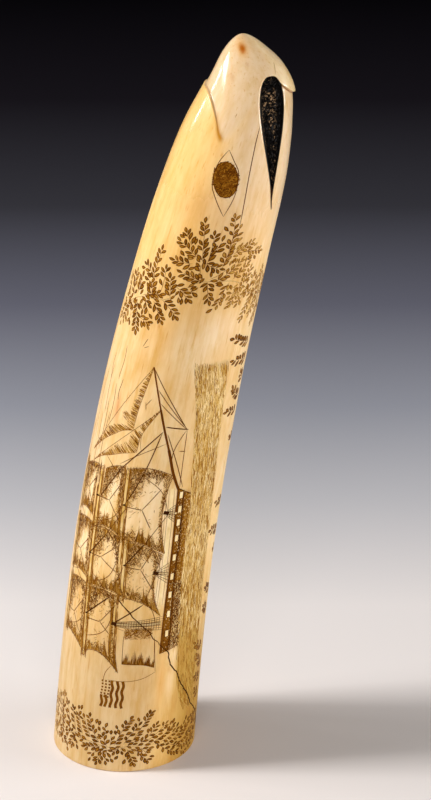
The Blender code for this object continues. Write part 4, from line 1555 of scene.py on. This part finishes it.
# Flag
# A small striped flag that flies from the gaff and has a dotted corner.  Its stripes are broad inked
# ribbons that wave together.
FLAG_TOP = 42.0
FLAG_END = 29.6
STRIPES = ((-10.3, 35.0), (-8.6, 35.2), (-6.6, 42.0), (-4.5, 42.0), (-2.6, 42.0))  # place, upper end
WAVE = (0.28, 5.4)  # half height and length of the stripes' wave
DOT_ROWS = 3
DOTS = 6
DOT_SPACING = (1.35, 1.42)
HALYARDS = (
    ((8.8, 45.5), (4.0, 43.0), (0.0, 42.1), (-8.5, 42.1)),
    ((-7.8, 48.5), (-9.6, 45.5), (-10.3, 40.0)),
)

flag = []
for stripe_s, stripe_z in STRIPES:
    stripe_height = np.linspace(stripe_z, FLAG_END, 40)
    wave = WAVE[0] * np.sin((FLAG_TOP - stripe_height) * 2 * math.pi / WAVE[1] + 0.4 * stripe_s)
    flag.append(lines(np.column_stack((stripe_s + wave, stripe_height)), 1.06, 0.64, 1, "even"))
for row in range(DOT_ROWS):
    for dot in range(DOTS):
        dot_s = -10.5 + DOT_SPACING[0] * row + 0.15 * math.sin(dot)
        dot_z = FLAG_TOP - 0.6 - DOT_SPACING[1] * dot
        flag.append(lines(dashes((dot_s, dot_z), 1.4, 0.80, 0, 3), 0.72, 0.66, 2, "even"))
flag += [lines(along(halyard, 40)[0], 0.24, 0.56, 1) for halyard in HALYARDS]
engrave("flag", flag)


# Age marks
# A dark crack runs up from the base at the front edge, thin splits follow the grain near the back edge,
# and a few short scratches lie between.
AGE_CRACK = (
    (41.5, 2.0), (39.5, 8.0), (36.5, 14.0), (33.0, 19.0), (30.0, 22.3), (24.7, 31.0), (20.0, 38.5),
    (17.5, 44.0), (14.8, 48.5), (13.8, 52.0), (11.3, 55.8), (7.8, 60.3), (3.8, 65.3), (0.0, 69.5),
    (-5.0, 75.0), (-9.0, 79.0),
)
CRACK_POINTS = 110
SPLITS = (  # place round the tusk, height of the lower end, length
    (-30, 118, 34), (-27, 137, 22), (-33, 140, 30), (-36, 120, 26), (-24, 150, 16), (-29, 165, 12),
    (-38, 96, 30), (-21.5, 160, 9), (-25.5, 128, 26), (-28.5, 152, 20), (-23, 168, 14), (-34, 72, 40),
    (-26, 108, 12), (-40, 58, 36), (24, 120, 9), (-39, 150, 22),
)
SCRATCHES = (
    ((-15.4, 184.0), (-14.0, 187.5)),
    ((-14.8, 183.6), (-13.1, 184.6)),
    ((-9.4, 161.0), (-7.6, 164.0)),
    ((-9.0, 159.5), (-9.5, 162.5)),
    ((9.4, 287.5), (9.9, 291.0)),
    ((-3.4, 274.2), (-3.1, 275.6)),
)
AGE_SPOTS = (
    ((-21.0, 157.0), 1.1, 5.0, (196, 120, 40), 0.75),
    ((11.6, 41.0), 1.7, 7.0, (236, 172, 84), 0.40),
    ((15.2, 51.5), 1.8, 2.2, (252, 226, 182), 0.80),
    ((15.4, 40.0), 1.7, 5.0, (242, 208, 156), 0.50),
    ((7.0, 36.0), 1.2, 9.0, (206, 156, 74), 0.35),
    ((2.0, 184.0), 9.0, 1.5, (234, 208, 160), 0.50),
    ((-9.0, 192.0), 3.0, 3.5, (226, 176, 96), 0.40),
    ((-3.0, 150.0), 8.0, 1.8, (236, 208, 156), 0.40),
)

marks = []
chance = np.random.default_rng(51)
crack, _ = along(AGE_CRACK, CRACK_POINTS)
for k, kinks in ((0, 0.38), (1, 0.3)):
    crack[:, k] += np.convolve(chance.normal(0, kinks, CRACK_POINTS), np.ones(3) / 3, "same")
marks.append(lines(crack[:78], 0.46, 0.93, 11, spacing=0.7))
marks.append(lines(crack[76:], 0.34, 0.88, 11, spacing=0.7))
for place_round, place_z, long in SPLITS:
    t = np.linspace(0, 1, 16)
    wander = 0.35 * np.sin(t * 5 + place_z)
    path = np.column_stack((place_round + wander + 0.02 * long * t, place_z + long * t))
    marks.append(lines(path, 0.25, chance.uniform(0.48, 0.76), 0))
for start_place, end_place in SCRATCHES:
    marks.append(lines(np.array((start_place, end_place)), 0.22, 0.70 - 0.25 * (start_place[1] > 250), 0))
engrave("age_marks", marks)
ivory = spotted(ivory, AGE_SPOTS)
add_field(tusk.data, "tone", "FLOAT_COLOR", "color", np.column_stack((ivory, np.ones(len(ivory)))))
